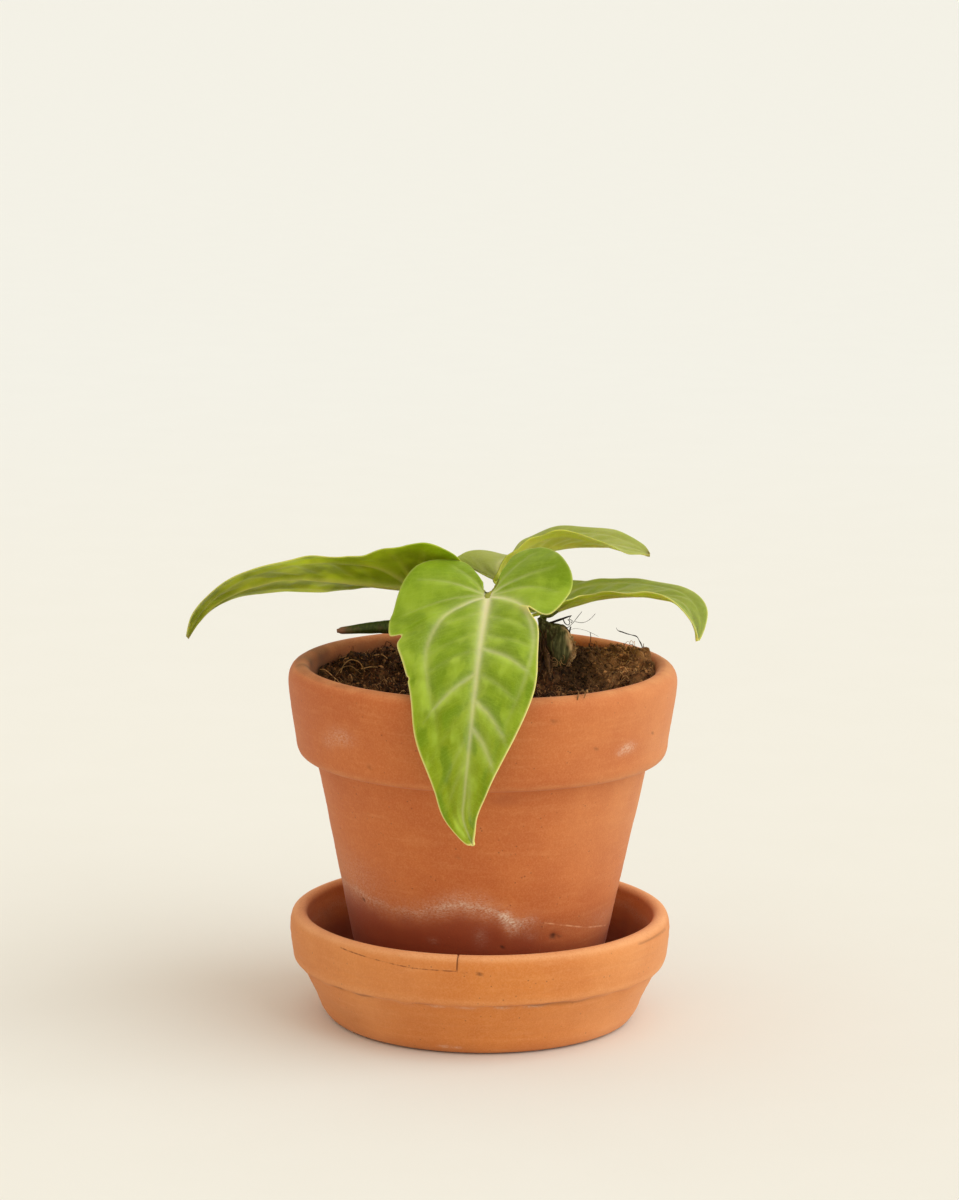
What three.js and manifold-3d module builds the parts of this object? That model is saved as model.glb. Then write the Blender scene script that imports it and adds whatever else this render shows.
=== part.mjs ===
// A young velvet-leaved aroid in a terracotta pot that stands on its terracotta saucer.
// Millimetres, +Z up. The origin is the centre of the saucer's underside; -Y faces the viewer.
import * as THREE from "three";
import { mergeVertices } from "three/addons/utils/BufferGeometryUtils.js";
import Module from "manifold-3d";

const wasm = await Module();
wasm.setup();

// ---- driving dimensions ----
const SEAT = 0.3; // gap that is left where one piece rests on another
const ROUND = 48; // sides of the turned pieces
const SAUCER_FLOOR = 6.0;
const POT_FOOT = SAUCER_FLOOR + SEAT;
const POT_RIM_RADIUS = 60.0;
const DRAIN_RADIUS = 6.0;
const SOIL_LEVEL = 104.6;
const CROWN = [18, 18]; // where the plant comes out of the soil
const BLADE_THICKNESS = 0.8;

// ---- small tools for curves ----
const radians = Math.PI / 180;
const clamp = (v, low, high) => Math.min(high, Math.max(low, v));
const add = (a, b, k = 1) => a.map((v, i) => v + k * b[i]);

// Smooth run through evenly spaced control points as s goes from 0 to 1.
function spline(points, s) {
  const n = points.length - 1;
  const f = clamp(s, 0, 1) * n;
  const i = Math.min(Math.floor(f), n - 1);
  const u = f - i;
  const at = (k) =>
    k < 0
      ? points[0].map((v, j) => 2 * v - points[1][j])
      : k > n
        ? points[n].map((v, j) => 2 * v - points[n - 1][j])
        : points[k];
  const [a, b, c, d] = [at(i - 1), at(i), at(i + 1), at(i + 2)];
  return b.map(
    (v, j) =>
      0.5 *
      (2 * v +
        (c[j] - a[j]) * u +
        (2 * a[j] - 5 * v + 4 * c[j] - d[j]) * u ** 2 +
        (3 * v - 3 * c[j] + d[j] - a[j]) * u ** 3),
  );
}
const ease = (values, u) =>
  spline(
    values.map((v) => [v]),
    u,
  )[0];

// ---- solids: a closed geometry becomes one that can be cut or joined, and back ----
function solid(geometry) {
  const plain = new THREE.BufferGeometry().setAttribute(
    "position",
    geometry.getAttribute("position"),
  );
  plain.setIndex(geometry.getIndex());
  const merged = mergeVertices(plain, 1e-3);
  return new wasm.Manifold(
    new wasm.Mesh({
      numProp: 3,
      vertProperties: new Float32Array(merged.getAttribute("position").array),
      triVerts: new Uint32Array(merged.getIndex().array),
    }),
  );
}

function geometryOf(made) {
  const mesh = made.getMesh();
  const geometry = new THREE.BufferGeometry();
  geometry.setAttribute(
    "position",
    new THREE.BufferAttribute(new Float32Array(mesh.vertProperties), 3),
  );
  geometry.setIndex(
    new THREE.BufferAttribute(new Uint32Array(mesh.triVerts), 1),
  );
  return geometry;
}

// What is left of a piece after its neighbours are cut out of it: the largest body.
function cutBack(piece, neighbours) {
  let left = piece;
  for (const n of neighbours) left = left.subtract(n);
  const bodies = left.decompose();
  return bodies.reduce((a, b) => (a.volume() > b.volume() ? a : b));
}

// ---- turned terracotta ----
function turned(profile, sides = ROUND) {
  return new THREE.LatheGeometry(
    profile.map(([r, z]) => new THREE.Vector2(r, z)),
    sides,
  ).rotateX(Math.PI / 2); // the turning axis becomes +Z
}

// Saucer: flat foot, flared lower wall, an outside band and a rounded lip.
const SAUCER_PROFILE = [
  [0, 0],
  [46.2, 0],
  [48.2, 1.0],
  [49.9, 3.8],
  [51.3, 7.5],
  [54.2, 13.4],
  [56.1, 17.2],
  [57.9, 18.3],
  [58.7, 21.5],
  [59.3, 27.6],
  [59.1, 30.6],
  [58.3, 32.4],
  [56.9, 33.2],
  [55.3, 33.2],
  [54.2, 32.3],
  [53.7, 30.4],
  [48.4, 8.6],
  [47.6, 7.2],
  [46.0, 6.3],
  [44.0, SAUCER_FLOOR],
  [0, SAUCER_FLOOR],
];

// Pot: tapered body, a deep collar with a rounded lower corner, a rounded lip, and a drain hole in its floor.
const INNER_WALL = [
  [30.0, 14.6],
  [46.8, 84],
  [51.6, 97],
  [53.4, 108.4],
];
const POT_PROFILE = [
  [DRAIN_RADIUS, POT_FOOT],
  [34.9, POT_FOOT],
  [36.0, POT_FOOT + 1.2],
  [44.1, 46],
  [51.4, 81],
  [52.3, 82.5],
  [54.2, 82.6],
  [56.2, 83.6],
  [57.3, 85.6],
  [57.7, 88.6],
  [59.2, 98.5],
  [POT_RIM_RADIUS, 105.4],
  [59.8, 108.0],
  [58.9, 110.1],
  [57.2, 111.2],
  [55.4, 111.4],
  [54.0, 110.4],
  ...[...INNER_WALL].reverse(),
  [DRAIN_RADIUS, 14.6],
  [DRAIN_RADIUS, POT_FOOT],
];

// ---- potting mix: an uneven top with a low mound round the crown ----
function soilHeight(x, y) {
  const [cx, cy] = CROWN;
  const mound = 3.2 * Math.exp(-((x - cx) ** 2 + (y - cy) ** 2) / 260);
  const lumps =
    0.9 * Math.sin(0.31 * x + 1.3) * Math.cos(0.27 * y - 0.4) +
    0.6 * Math.sin(0.62 * x - 0.51 * y + 2.1) +
    0.45 * Math.cos(0.93 * y + 0.41 * x) * Math.sin(0.88 * x + 0.7) +
    0.35 * Math.sin(1.37 * x + 1.11 * y);
  return SOIL_LEVEL + mound + lumps;
}

function soilGeometry() {
  const profile = [
    [0, INNER_WALL[0][1] + SEAT],
    ...INNER_WALL.slice(0, 3).map(([r, z], i) => [
      r - SEAT,
      i ? z : z + SEAT,
    ]),
    [52.4, SOIL_LEVEL - 1.2],
  ];
  const rings = [52.1, 49.5, 46, 42, 38, 34, 30, 26, 22, 18, 14, 10, 6.5, 3];
  for (const r of rings) profile.push([r, SOIL_LEVEL]);
  profile.push([0, SOIL_LEVEL]);
  const geometry = turned(profile);
  const at = geometry.getAttribute("position");
  for (let i = 0; i < at.count; i++) {
    if (at.getZ(i) < SOIL_LEVEL - 0.01) continue;
    at.setZ(i, soilHeight(at.getX(i), at.getY(i)));
  }
  return geometry;
}

// ---- stalks: a turned profile bent along a curve, thicker or thinner on the way ----
function stalk(points, radii, sides = 10, rings = 14, grow = 0) {
  const curve = new THREE.CatmullRomCurve3(
    points.map((p) => new THREE.Vector3(...p)),
    false,
    "centripetal",
  );
  const frames = curve.computeFrenetFrames(rings, false);
  const profile = [[0, 0]];
  for (let i = 0; i <= rings; i++)
    profile.push([ease(radii, i / rings) + grow, i]);
  profile.push([0, rings]);
  const geometry = new THREE.LatheGeometry(
    profile.map(([r, z]) => new THREE.Vector2(r, z)),
    sides,
  );
  const at = geometry.getAttribute("position");
  for (let k = 0; k < at.count; k++) {
    const i = Math.round(at.getY(k));
    const end = i === 0 ? -grow : i === rings ? grow : 0;
    const c = curve
      .getPointAt(i / rings)
      .addScaledVector(frames.tangents[i], end)
      .addScaledVector(frames.binormals[i], at.getX(k))
      .addScaledVector(frames.normals[i], at.getZ(k));
    at.setXYZ(k, c.x, c.y, c.z);
  }
  return geometry;
}

// ---- leaf blades ----
// Each half blade is a flat outline in millimetres, (across, along) from the stalk's end: sinus, basal lobe, waist, shoulder, tip.
// "right" is the leaf's own right-hand side, looking from the stalk to the tip. The first seven points belong to the basal lobe.
const LOBE_SHARE = 6 / 13;
const LEAVES = {
  front: {
    at: [1.1, -21.8, 136.1],
    length: 92,
    half: 21.6,
    heading: -95,
    turn: -0.3,
    pitch: [-16.8, -31.5, -64.5, -84.5],
    roll: [-8.3, -4.8, -3.8],
    left: {
      outline: [[2.2, -6.5], [8.2, -19.8], [18.1, -17.3], [25.1, -5.3], [26.3, 4.0], [21.6, 14.4], [15.6, 17.2], [18.3, 24.7], [17.7, 32.9], [17.5, 45.6], [13.6, 59.3], [7.6, 73.6], [4.6, 85.8], [0, 92]],
      fold: [10.8, 4.4, 0.3],
      curl: [-10.7, -13.8, -10.0],
      lobe: [11.4, 2.0],
    },
    right: {
      outline: [[2.4, -7.4], [9.6, -18.0], [17.6, -17.3], [25.5, -6.6], [29.0, 3.8], [27.6, 16.0], [23.2, 17.4], [25.4, 25.0], [22.8, 33.3], [19.6, 45.7], [17.0, 60.6], [11.1, 75.1], [5.2, 85.9], [0, 92]],
      fold: [5.7, 3.5, 0.5],
      curl: [-8.4, -13.6, -9.8],
      lobe: [14.7, 2.7],
    },
    wave: [0.35, 5.2, 0.4],
    rows: 32,
    columns: 6,
  },
  left: {
    at: [-22.1, 13.4, 132.7],
    length: 78.6,
    half: 22.5,
    heading: 172.8,
    turn: 8.4,
    pitch: [4.4, 3.3, -20.3, -62.7],
    roll: [-24.0, -25.5, -20.8],
    left: {
      outline: [[3.1, -11], [10.9, -17.1], [21.1, -14.0], [26.8, -5.4], [27.9, 3.9], [24.6, 10.7], [20.2, 15.4], [20.0, 21.2], [22.0, 28.1], [19.9, 38.9], [15.5, 51.2], [10.6, 64.0], [4.5, 73.2], [0, 78.6]],
      fold: [12.9, 1.5, -0.4],
      curl: [-2.7, -8.3, -6.7],
      lobe: [5.2, 1.8],
    },
    right: {
      outline: [[3.1, -11], [10.8, -17.1], [20.7, -14.0], [27.0, -5.5], [28.0, 3.9], [24.8, 10.9], [20.0, 14.6], [20.4, 21.1], [21.7, 28.1], [19.7, 38.9], [16.4, 51.5], [10.3, 63.8], [4.2, 73.0], [0, 78.6]],
      fold: [16.9, 6.0, 13.6],
      curl: [-1.0, -10.8, -4.7],
      lobe: [0, 0],
    },
    wave: [0.7, 7.5, 1.1],
    rows: 30,
    columns: 5,
  },
  right: {
    at: [22.9, 15.0, 125.8],
    length: 55.6,
    half: 15.3,
    heading: 1.5,
    turn: -44.8,
    pitch: [22.7, 6.8, -10.0, -95.5],
    roll: [-0.9, 2.9, 5.5],
    left: {
      outline: [[2.1, -7.4], [7.3, -12.1], [14.0, -9.9], [18.3, -3.9], [18.9, 2.8], [16.7, 7.7], [13.6, 10.4], [14.1, 14.9], [14.8, 19.8], [13.3, 27.5], [10.6, 36.2], [7.5, 45.4], [3.0, 51.6], [0, 55.6]],
      fold: [22.6, 11.6, 17.1],
      curl: [0, 0, 0],
      lobe: [0, 0],
    },
    right: {
      outline: [[2.1, -7.4], [7.3, -12.1], [14.0, -9.9], [18.3, -3.9], [18.9, 2.8], [16.8, 7.7], [13.7, 10.5], [13.9, 14.9], [14.6, 19.8], [13.3, 27.5], [10.9, 36.4], [7.1, 45.2], [3.0, 51.7], [0, 55.6]],
      fold: [22.0, 14.6, 20.8],
      curl: [0, 0, 0],
      lobe: [0, 0],
    },
    wave: [0.4, 6.2, 2.0],
    rows: 26,
    columns: 4,
  },
  back: {
    at: [5.7, 30.0, 131.8],
    length: 52.0,
    half: 16.5,
    heading: 15.8,
    turn: -12.9,
    pitch: [57.3, 15.8, -3.0, -21.4],
    roll: [17.7, 1.4, -26.9],
    reach: 0.9, // its basal lobes stand up steeply
    left: {
      outline: [[2.2, -0.9], [6.5, -1.3], [12.5, -1.7], [17.7, -1.8], [17.8, 0.8], [15.4, 5.2], [13.7, 9.4], [15.2, 14.2], [16.4, 19.1], [14.1, 25.7], [11.1, 33.8], [7.4, 42.2], [3.8, 48.7], [0, 52.0]],
      fold: [11.1, 14.6, 6.0],
      curl: [-4.4, 0.4, -7.6],
      lobe: [52, 0],
    },
    right: {
      outline: [[2.2, -1.0], [5.2, -2.0], [9.0, -1.4], [12.2, 0.8], [14.3, 4.4], [15.2, 8.0], [15.6, 11.4], [16.2, 15.0], [16.8, 19.3], [14.6, 26.0], [11.7, 34.0], [7.5, 42.2], [3.2, 48.2], [0, 52.0]],
      fold: [16.0, 20.5, 4.3],
      curl: [-3.0, 2.1, -8.0],
      lobe: [0, 0],
    },
    wave: [0.35, 6.4, 0.2],
    rows: 26,
    columns: 4,
  },
};

// Pitch and heading of the midrib at y millimetres from the stalk. Behind the stalk a blade may carry on at another pitch.
function ribAngles(leaf, y) {
  const u = y / leaf.length;
  let pitch = ease(leaf.pitch, u);
  if (leaf.behind !== undefined) {
    let b = clamp(-y / 6, 0, 1);
    b = b * b * (3 - 2 * b);
    pitch = pitch * (1 - b) + leaf.behind * b;
  }
  return [
    radians * pitch,
    radians * (leaf.heading + leaf.turn * clamp(u, 0, 1.1)),
  ];
}
function along(leaf, y) {
  const [p, a] = ribAngles(leaf, y);
  return [Math.cos(p) * Math.cos(a), Math.cos(p) * Math.sin(a), Math.sin(p)];
}
// The midrib is walked in half-millimetre steps, forwards to the tip and back under the lobes.
const STEP = 0.5;
function ribPoint(leaf, y) {
  let p = leaf.at;
  const n = Math.floor(Math.abs(y) / STEP);
  const dir = Math.sign(y);
  for (let i = 0; i < n; i++)
    p = add(p, along(leaf, dir * (i + 0.5) * STEP), dir * STEP);
  const rest = y - dir * n * STEP;
  return add(p, along(leaf, y - rest / 2), rest);
}

// Where a point of the flat blade goes: x across (positive to the leaf's right), y along, lifted off the blade by w.
function place(leaf, x, y, w = 0) {
  const side = x >= 0 ? leaf.right : leaf.left;
  const across = Math.abs(x);
  const u = y / leaf.length;
  const [p, a] = ribAngles(leaf, y);
  const n0 = [-Math.sin(p) * Math.cos(a), -Math.sin(p) * Math.sin(a), Math.cos(p)];
  const s0 = [Math.sin(a), -Math.cos(a), 0];
  const r = radians * ease(leaf.roll, u);
  const s = s0.map((v, i) => v * Math.cos(r) + n0[i] * Math.sin(r));
  const n = s0.map((v, i) => -v * Math.sin(r) + n0[i] * Math.cos(r));
  let back = clamp((leaf.reach ?? 0.35) - y / (0.2 * leaf.length), 0, 1);
  back = back * back * (3 - 2 * back);
  const fold = radians * (ease(side.fold, u) + side.lobe[0] * back);
  let bend = (radians * (ease(side.curl, u) + side.lobe[1] * back)) / leaf.half;
  if (Math.abs(bend) < 1e-6) bend = 1e-6;
  const end = fold + bend * across;
  let across3 = (Math.sin(end) - Math.sin(fold)) / bend - w * Math.sin(end);
  const lift = -(Math.cos(end) - Math.cos(fold)) / bend + w * Math.cos(end);
  if (x < 0) across3 = -across3;
  return add(add(ribPoint(leaf, y), s, across3), n, lift);
}

// Flat blade point: i runs round the half outline from the sinus to the tip, t from the midrib to the edge.
function flat(leaf, i, t, sign) {
  const side = sign > 0 ? leaf.right : leaf.left;
  const [ox, oy] = spline(side.outline, i);
  const g = clamp((i - LOBE_SHARE) / (1 - LOBE_SHARE), 0, 1);
  const rib = leaf.length * g ** 1.15;
  const open = 1.2 * clamp(1 - i / 0.12, 0, 1) * Math.sin(Math.PI * t);
  return [sign * (ox * t + open), rib + (oy - rib) * t];
}

// A blade as one closed solid: both faces share one split into triangles, joined by a rim.
function blade(leaf, grow = 0) {
  const { rows, columns } = leaf;
  const points = [place(leaf, 0, grow ? -2.5 : 0)];
  const index = new Map();
  const vertex = (sign, r, c) => {
    const i = r / rows;
    if (r === rows) return key("tip", () => place(leaf, 0, leaf.length));
    if (c === 0) {
      if (i <= LOBE_SHARE) return 0;
      return key("rib" + r, () => place(leaf, 0, flat(leaf, i, 0, 1)[1]));
    }
    return key(sign + ":" + r + ":" + c, () => {
      const t = c / columns;
      const [x, y] = flat(leaf, i, t, sign);
      const [size, count, start] = leaf.wave;
      const wave = size * Math.sin(2 * Math.PI * count * i + start + sign) * t ** 2.2 * clamp((1 - i) * 6, 0, 1);
      return place(leaf, x, y, wave);
    });
  };
  function key(name, make) {
    if (!index.has(name)) {
      index.set(name, points.length);
      points.push(make());
    }
    return index.get(name);
  }
  const faces = [];
  for (const sign of [-1, 1])
    for (let r = 0; r < rows; r++)
      for (let c = 0; c < columns; c++) {
        const [a, b, d, e] = [vertex(sign, r, c), vertex(sign, r, c + 1), vertex(sign, r + 1, c + 1), vertex(sign, r + 1, c)];
        for (const f of [[a, b, d], [a, d, e]])
          if (new Set(f).size === 3) faces.push(sign > 0 ? f : [f[0], f[2], f[1]]);
      }
  // the rows run back to front, so each face is listed anticlockwise seen from above
  const normals = points.map(() => new THREE.Vector3());
  const v = (k) => new THREE.Vector3(...points[k]);
  for (const [a, b, c] of faces) {
    const n = v(b).sub(v(a)).cross(v(c).sub(v(a)));
    for (const k of [a, b, c]) normals[k].add(n);
  }
  const n = points.length;
  const position = new Float32Array(n * 6);
  const half = BLADE_THICKNESS / 2 + grow;
  normals.forEach((m, k) => {
    m.normalize();
    position.set(v(k).addScaledVector(m, half).toArray(), k * 3);
    position.set(v(k).addScaledVector(m, -half).toArray(), (n + k) * 3);
  });
  const edges = new Map();
  for (const f of faces)
    for (let k = 0; k < 3; k++) edges.set(f[k] + ">" + f[(k + 1) % 3], [f[k], f[(k + 1) % 3]]);
  const list = [];
  for (const [a, b, c] of faces) list.push(a, b, c, n + a, n + c, n + b);
  for (const [a, b] of edges.values())
    if (!edges.has(b + ">" + a)) list.push(b, a, n + a, b, n + a, n + b);
  const geometry = new THREE.BufferGeometry();
  geometry.setAttribute("position", new THREE.BufferAttribute(position, 3));
  geometry.setIndex(list);
  return geometry;
}

// ---- stem, petioles and the other stalks ----
// A petiole's last stretch: it comes up from below and behind the blade, in line with the midrib.
function underBlade(leaf, behind, below) {
  const t = along(leaf, 0);
  const n = new THREE.Vector3(...place(leaf, 0, 0, 1)).sub(new THREE.Vector3(...place(leaf, 0, 0))).toArray();
  return add(add(leaf.at, t, -behind), n, -below);
}
const STEM = { path: [[19, 19, 94], [18.5, 18.5, 104], [17.5, 17.8, 111], [16.5, 17, 117.5]], radii: [4.6, 5.2, 4.9, 4.0, 3.0] };
const STALKS = {
  petiole_front: { path: [[15, 15.5, 113], [10, 9, 118.5], [5, -4, 127], underBlade(LEAVES.front, 6, 3.6), underBlade(LEAVES.front, -1.5, 0.6)], radii: [2.6, 1.9, 1.6, 1.5, 1.7], leaf: "front" },
  petiole_left: { path: [[14, 18.5, 112], [4, 17.5, 121], [-8, 15, 128], underBlade(LEAVES.left, 6, 3.4), underBlade(LEAVES.left, -1.5, 0.6)], radii: [2.5, 1.8, 1.5, 1.4, 1.6], leaf: "left" },
  petiole_back: { path: [[15.5, 21, 112], [9, 26, 119], [4, 29, 124.5], underBlade(LEAVES.back, 3, 2.4), underBlade(LEAVES.back, -1.2, 0.6)], radii: [2.2, 1.6, 1.4, 1.3, 1.5], leaf: "back" },
  petiole_right: { path: [[18.5, 18, 114], [19.5, 17.5, 119], [20, 16.5, 122.5], underBlade(LEAVES.right, 2.2, 2.2), underBlade(LEAVES.right, -1.2, 0.6)], radii: [2.0, 1.6, 1.4, 1.3, 1.4], leaf: "right" },
  petiole_stub: { path: [[13.5, 15.5, 111.8], [2, 12.5, 116.5], [-14, 10.5, 119.8], [-30, 8.5, 120.3], [-45.4, 6, 119.7]], radii: [2.4, 2.1, 1.9, 1.6, 0.9] },
  cataphyll: { path: [[24, 13.2, 104.5], [25, 12.6, 110], [23.4, 12.6, 116.5], [19.6, 12.9, 123.4]], radii: [3.6, 4.3, 2.9, 0.6] },
  aerial_root_front: { path: [[19.5, 13.5, 113], [20, 8.5, 112], [20.6, 3, 108.2], [21.4, -3.5, 103], [21.6, -5.2, 99]], radii: [1.0, 0.8, 0.7, 0.7, 0.6] },
  aerial_root_side: { path: [[16.5, 13, 111], [13, 7, 109.5], [12.6, 2, 106.5], [14, -2.5, 102]], radii: [0.9, 0.8, 0.7, 0.6] },
  dry_root: { path: [[19.6, 15.5, 118], [21.4, 14, 121.6], [24.6, 12.8, 122.8], [27.5, 12, 124.2], [31, 12, 125.6], [33.4, 12, 126]], radii: [0.7, 0.6, 0.5, 0.4, 0.35] },
  wiry_fibre: { path: [[48.6, 10, 99], [49.4, 11, 107], [49.9, 12, 110.4], [48.8, 16, 112.3], [47.9, 19, 113.6], [45.3, 22, 114.2], [42.4, 23, 115.2]], radii: [0.5, 0.5, 0.45, 0.4] },
};

// ---- put together ----
const terracotta = (colour) => new THREE.MeshStandardMaterial({ color: colour, roughness: 0.85, metalness: 0 });
const green = (colour, roughness = 0.55) => new THREE.MeshStandardMaterial({ color: colour, roughness, metalness: 0 });
const plant = new THREE.Group();
const pottery = new THREE.Group();
const group = new THREE.Group();
group.add(pottery, plant);

function piece(parent, name, geometry, material) {
  const mesh = new THREE.Mesh(geometry, material);
  mesh.name = name;
  parent.add(mesh);
  return mesh;
}

piece(pottery, "saucer", turned(SAUCER_PROFILE), terracotta(0xd98c52));
piece(pottery, "pot", turned(POT_PROFILE), terracotta(0xc9733f));

const STEM_SIDES = 12;
const stem = solid(stalk(STEM.path, STEM.radii, STEM_SIDES, 8));
const stemSeat = solid(stalk(STEM.path, STEM.radii, STEM_SIDES, 8, SEAT));
piece(plant, "stem", geometryOf(stem), green(0x6b7030, 0.7));

const STALK_SIDES = { cataphyll: 14, aerial_root_front: 6, aerial_root_side: 6, dry_root: 5, wiry_fibre: 5 };
const SHADES = { cataphyll: 0x7c8560, petiole_stub: 0x3c4a1c, aerial_root_front: 0x5a3b22, aerial_root_side: 0x5a3b22, dry_root: 0x2b1d14, wiry_fibre: 0x3a2a1c };
const rooted = [stemSeat];
const placed = [stemSeat];
for (const [name, { path, radii, leaf }] of Object.entries(STALKS)) {
  const sides = STALK_SIDES[name] ?? 9;
  const rings = 12;
  const neighbours = [...placed];
  if (leaf) neighbours.push(solid(blade(LEAVES[leaf], SEAT)));
  const made = cutBack(solid(stalk(path, radii, sides, rings)), neighbours);
  const seat = solid(stalk(path, radii, sides, rings, SEAT));
  placed.push(seat);
  if (["cataphyll", "aerial_root_front", "aerial_root_side", "wiry_fibre"].includes(name)) rooted.push(seat);
  piece(plant, name, geometryOf(made), green(SHADES[name] ?? 0x7d8a2e));
}

const soil = cutBack(solid(soilGeometry()), rooted);
piece(pottery, "soil", geometryOf(soil), new THREE.MeshStandardMaterial({ color: 0x3b2617, roughness: 1, metalness: 0 }));

for (const [name, leaf] of Object.entries(LEAVES))
  piece(plant, "leaf_" + name, blade(leaf), green({ front: 0x9bb435, left: 0x8b9327, right: 0x93a552, back: 0x8f9a3c }[name], 0.5));

export default group;
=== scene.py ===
# %% [markdown]
# # A velvet-leaved aroid in a terracotta pot
# The object is a young plant with four long heart-shaped leaves, a collared clay pot full of
# fibrous mix, and a deep clay saucer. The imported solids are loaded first, as a frame that says
# where everything is. Each step then builds one finer piece in the same place: clay, mix,
# leaves, stalks, roots. Everything is written in millimetres and turned into metres at the end,
# because a pot maker thinks in millimetres and Blender's own unit is the metre.

import math
from itertools import combinations

import bpy
import numpy as np
from mathutils import Matrix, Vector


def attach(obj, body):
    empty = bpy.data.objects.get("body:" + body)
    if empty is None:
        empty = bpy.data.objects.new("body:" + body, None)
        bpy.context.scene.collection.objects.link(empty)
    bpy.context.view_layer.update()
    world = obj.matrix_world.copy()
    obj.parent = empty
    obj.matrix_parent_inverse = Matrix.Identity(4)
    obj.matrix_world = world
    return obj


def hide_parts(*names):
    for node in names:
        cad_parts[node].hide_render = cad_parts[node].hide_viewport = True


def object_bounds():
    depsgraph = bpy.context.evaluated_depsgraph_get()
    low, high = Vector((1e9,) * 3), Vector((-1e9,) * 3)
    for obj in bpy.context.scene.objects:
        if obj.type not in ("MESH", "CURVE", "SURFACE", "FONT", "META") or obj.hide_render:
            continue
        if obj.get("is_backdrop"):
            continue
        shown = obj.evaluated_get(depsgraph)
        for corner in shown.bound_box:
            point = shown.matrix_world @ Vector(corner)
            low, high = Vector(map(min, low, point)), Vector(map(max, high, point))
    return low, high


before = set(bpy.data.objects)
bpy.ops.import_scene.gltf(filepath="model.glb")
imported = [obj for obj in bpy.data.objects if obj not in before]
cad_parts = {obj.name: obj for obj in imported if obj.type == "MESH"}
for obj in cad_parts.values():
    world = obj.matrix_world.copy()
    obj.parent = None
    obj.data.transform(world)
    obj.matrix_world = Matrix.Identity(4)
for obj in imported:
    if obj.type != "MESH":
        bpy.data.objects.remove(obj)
CAD_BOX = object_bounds()
MM = 0.001
scene = bpy.context.scene
print("solids in the frame:", ", ".join(sorted(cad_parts)))

# %% [markdown]
# ## The camera
# The picture was taken from a little over a metre away and looks slightly down. Camera height,
# distance and tilt could be found by eye; here they come from fitting the turned outlines of
# pot and saucer, which a lens draws as ellipses. A long lens keeps the rims flat. The tiny roll
# is the tilt of the hand-held camera.

# %% Camera
CAMERA_AT = (-0.00125, -1.143, 0.3356)
LENS, SENSOR = 112.98, 36.0
LOOK_DOWN, ROLL = math.radians(10.15), 0.011

camera_data = bpy.data.cameras.new("picture_camera")
camera_data.sensor_width, camera_data.lens = SENSOR, LENS
camera_data.clip_end = 200
camera = bpy.data.objects.new("picture_camera", camera_data)
scene.collection.objects.link(camera)
camera.matrix_world = (
    Matrix.Translation(CAMERA_AT)
    @ Matrix.Rotation(math.pi / 2 - LOOK_DOWN, 4, "X")
    @ Matrix.Rotation(ROLL, 4, "Z")
)
scene.camera = camera
print("camera", round(-CAMERA_AT[1], 3), "m in front, lens", LENS, "mm")

# %% [markdown]
# ## Materials as recipes
# A procedural material is a chain of nodes. Joining nodes by hand in code gets long, so this
# small helper keeps one material open and has a method for each ingredient: noise, cells, a
# colour mix, a bump. Numbers that are the same all over the surface, such as the strength of
# the velvet sheen, go straight onto the shader. All sizes are in millimetres.


# %% A helper for materials
def tone(red, green, blue):
    """A colour as seen on a screen, 0 to 255, as the linear colour that the shader wants."""
    shares = [c / 255 for c in (red, green, blue)]
    linear = [c / 12.92 if c < 0.0404 else ((c + 0.055) / 1.055) ** 2.4 for c in shares]
    return (*linear, 1.0)


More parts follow.
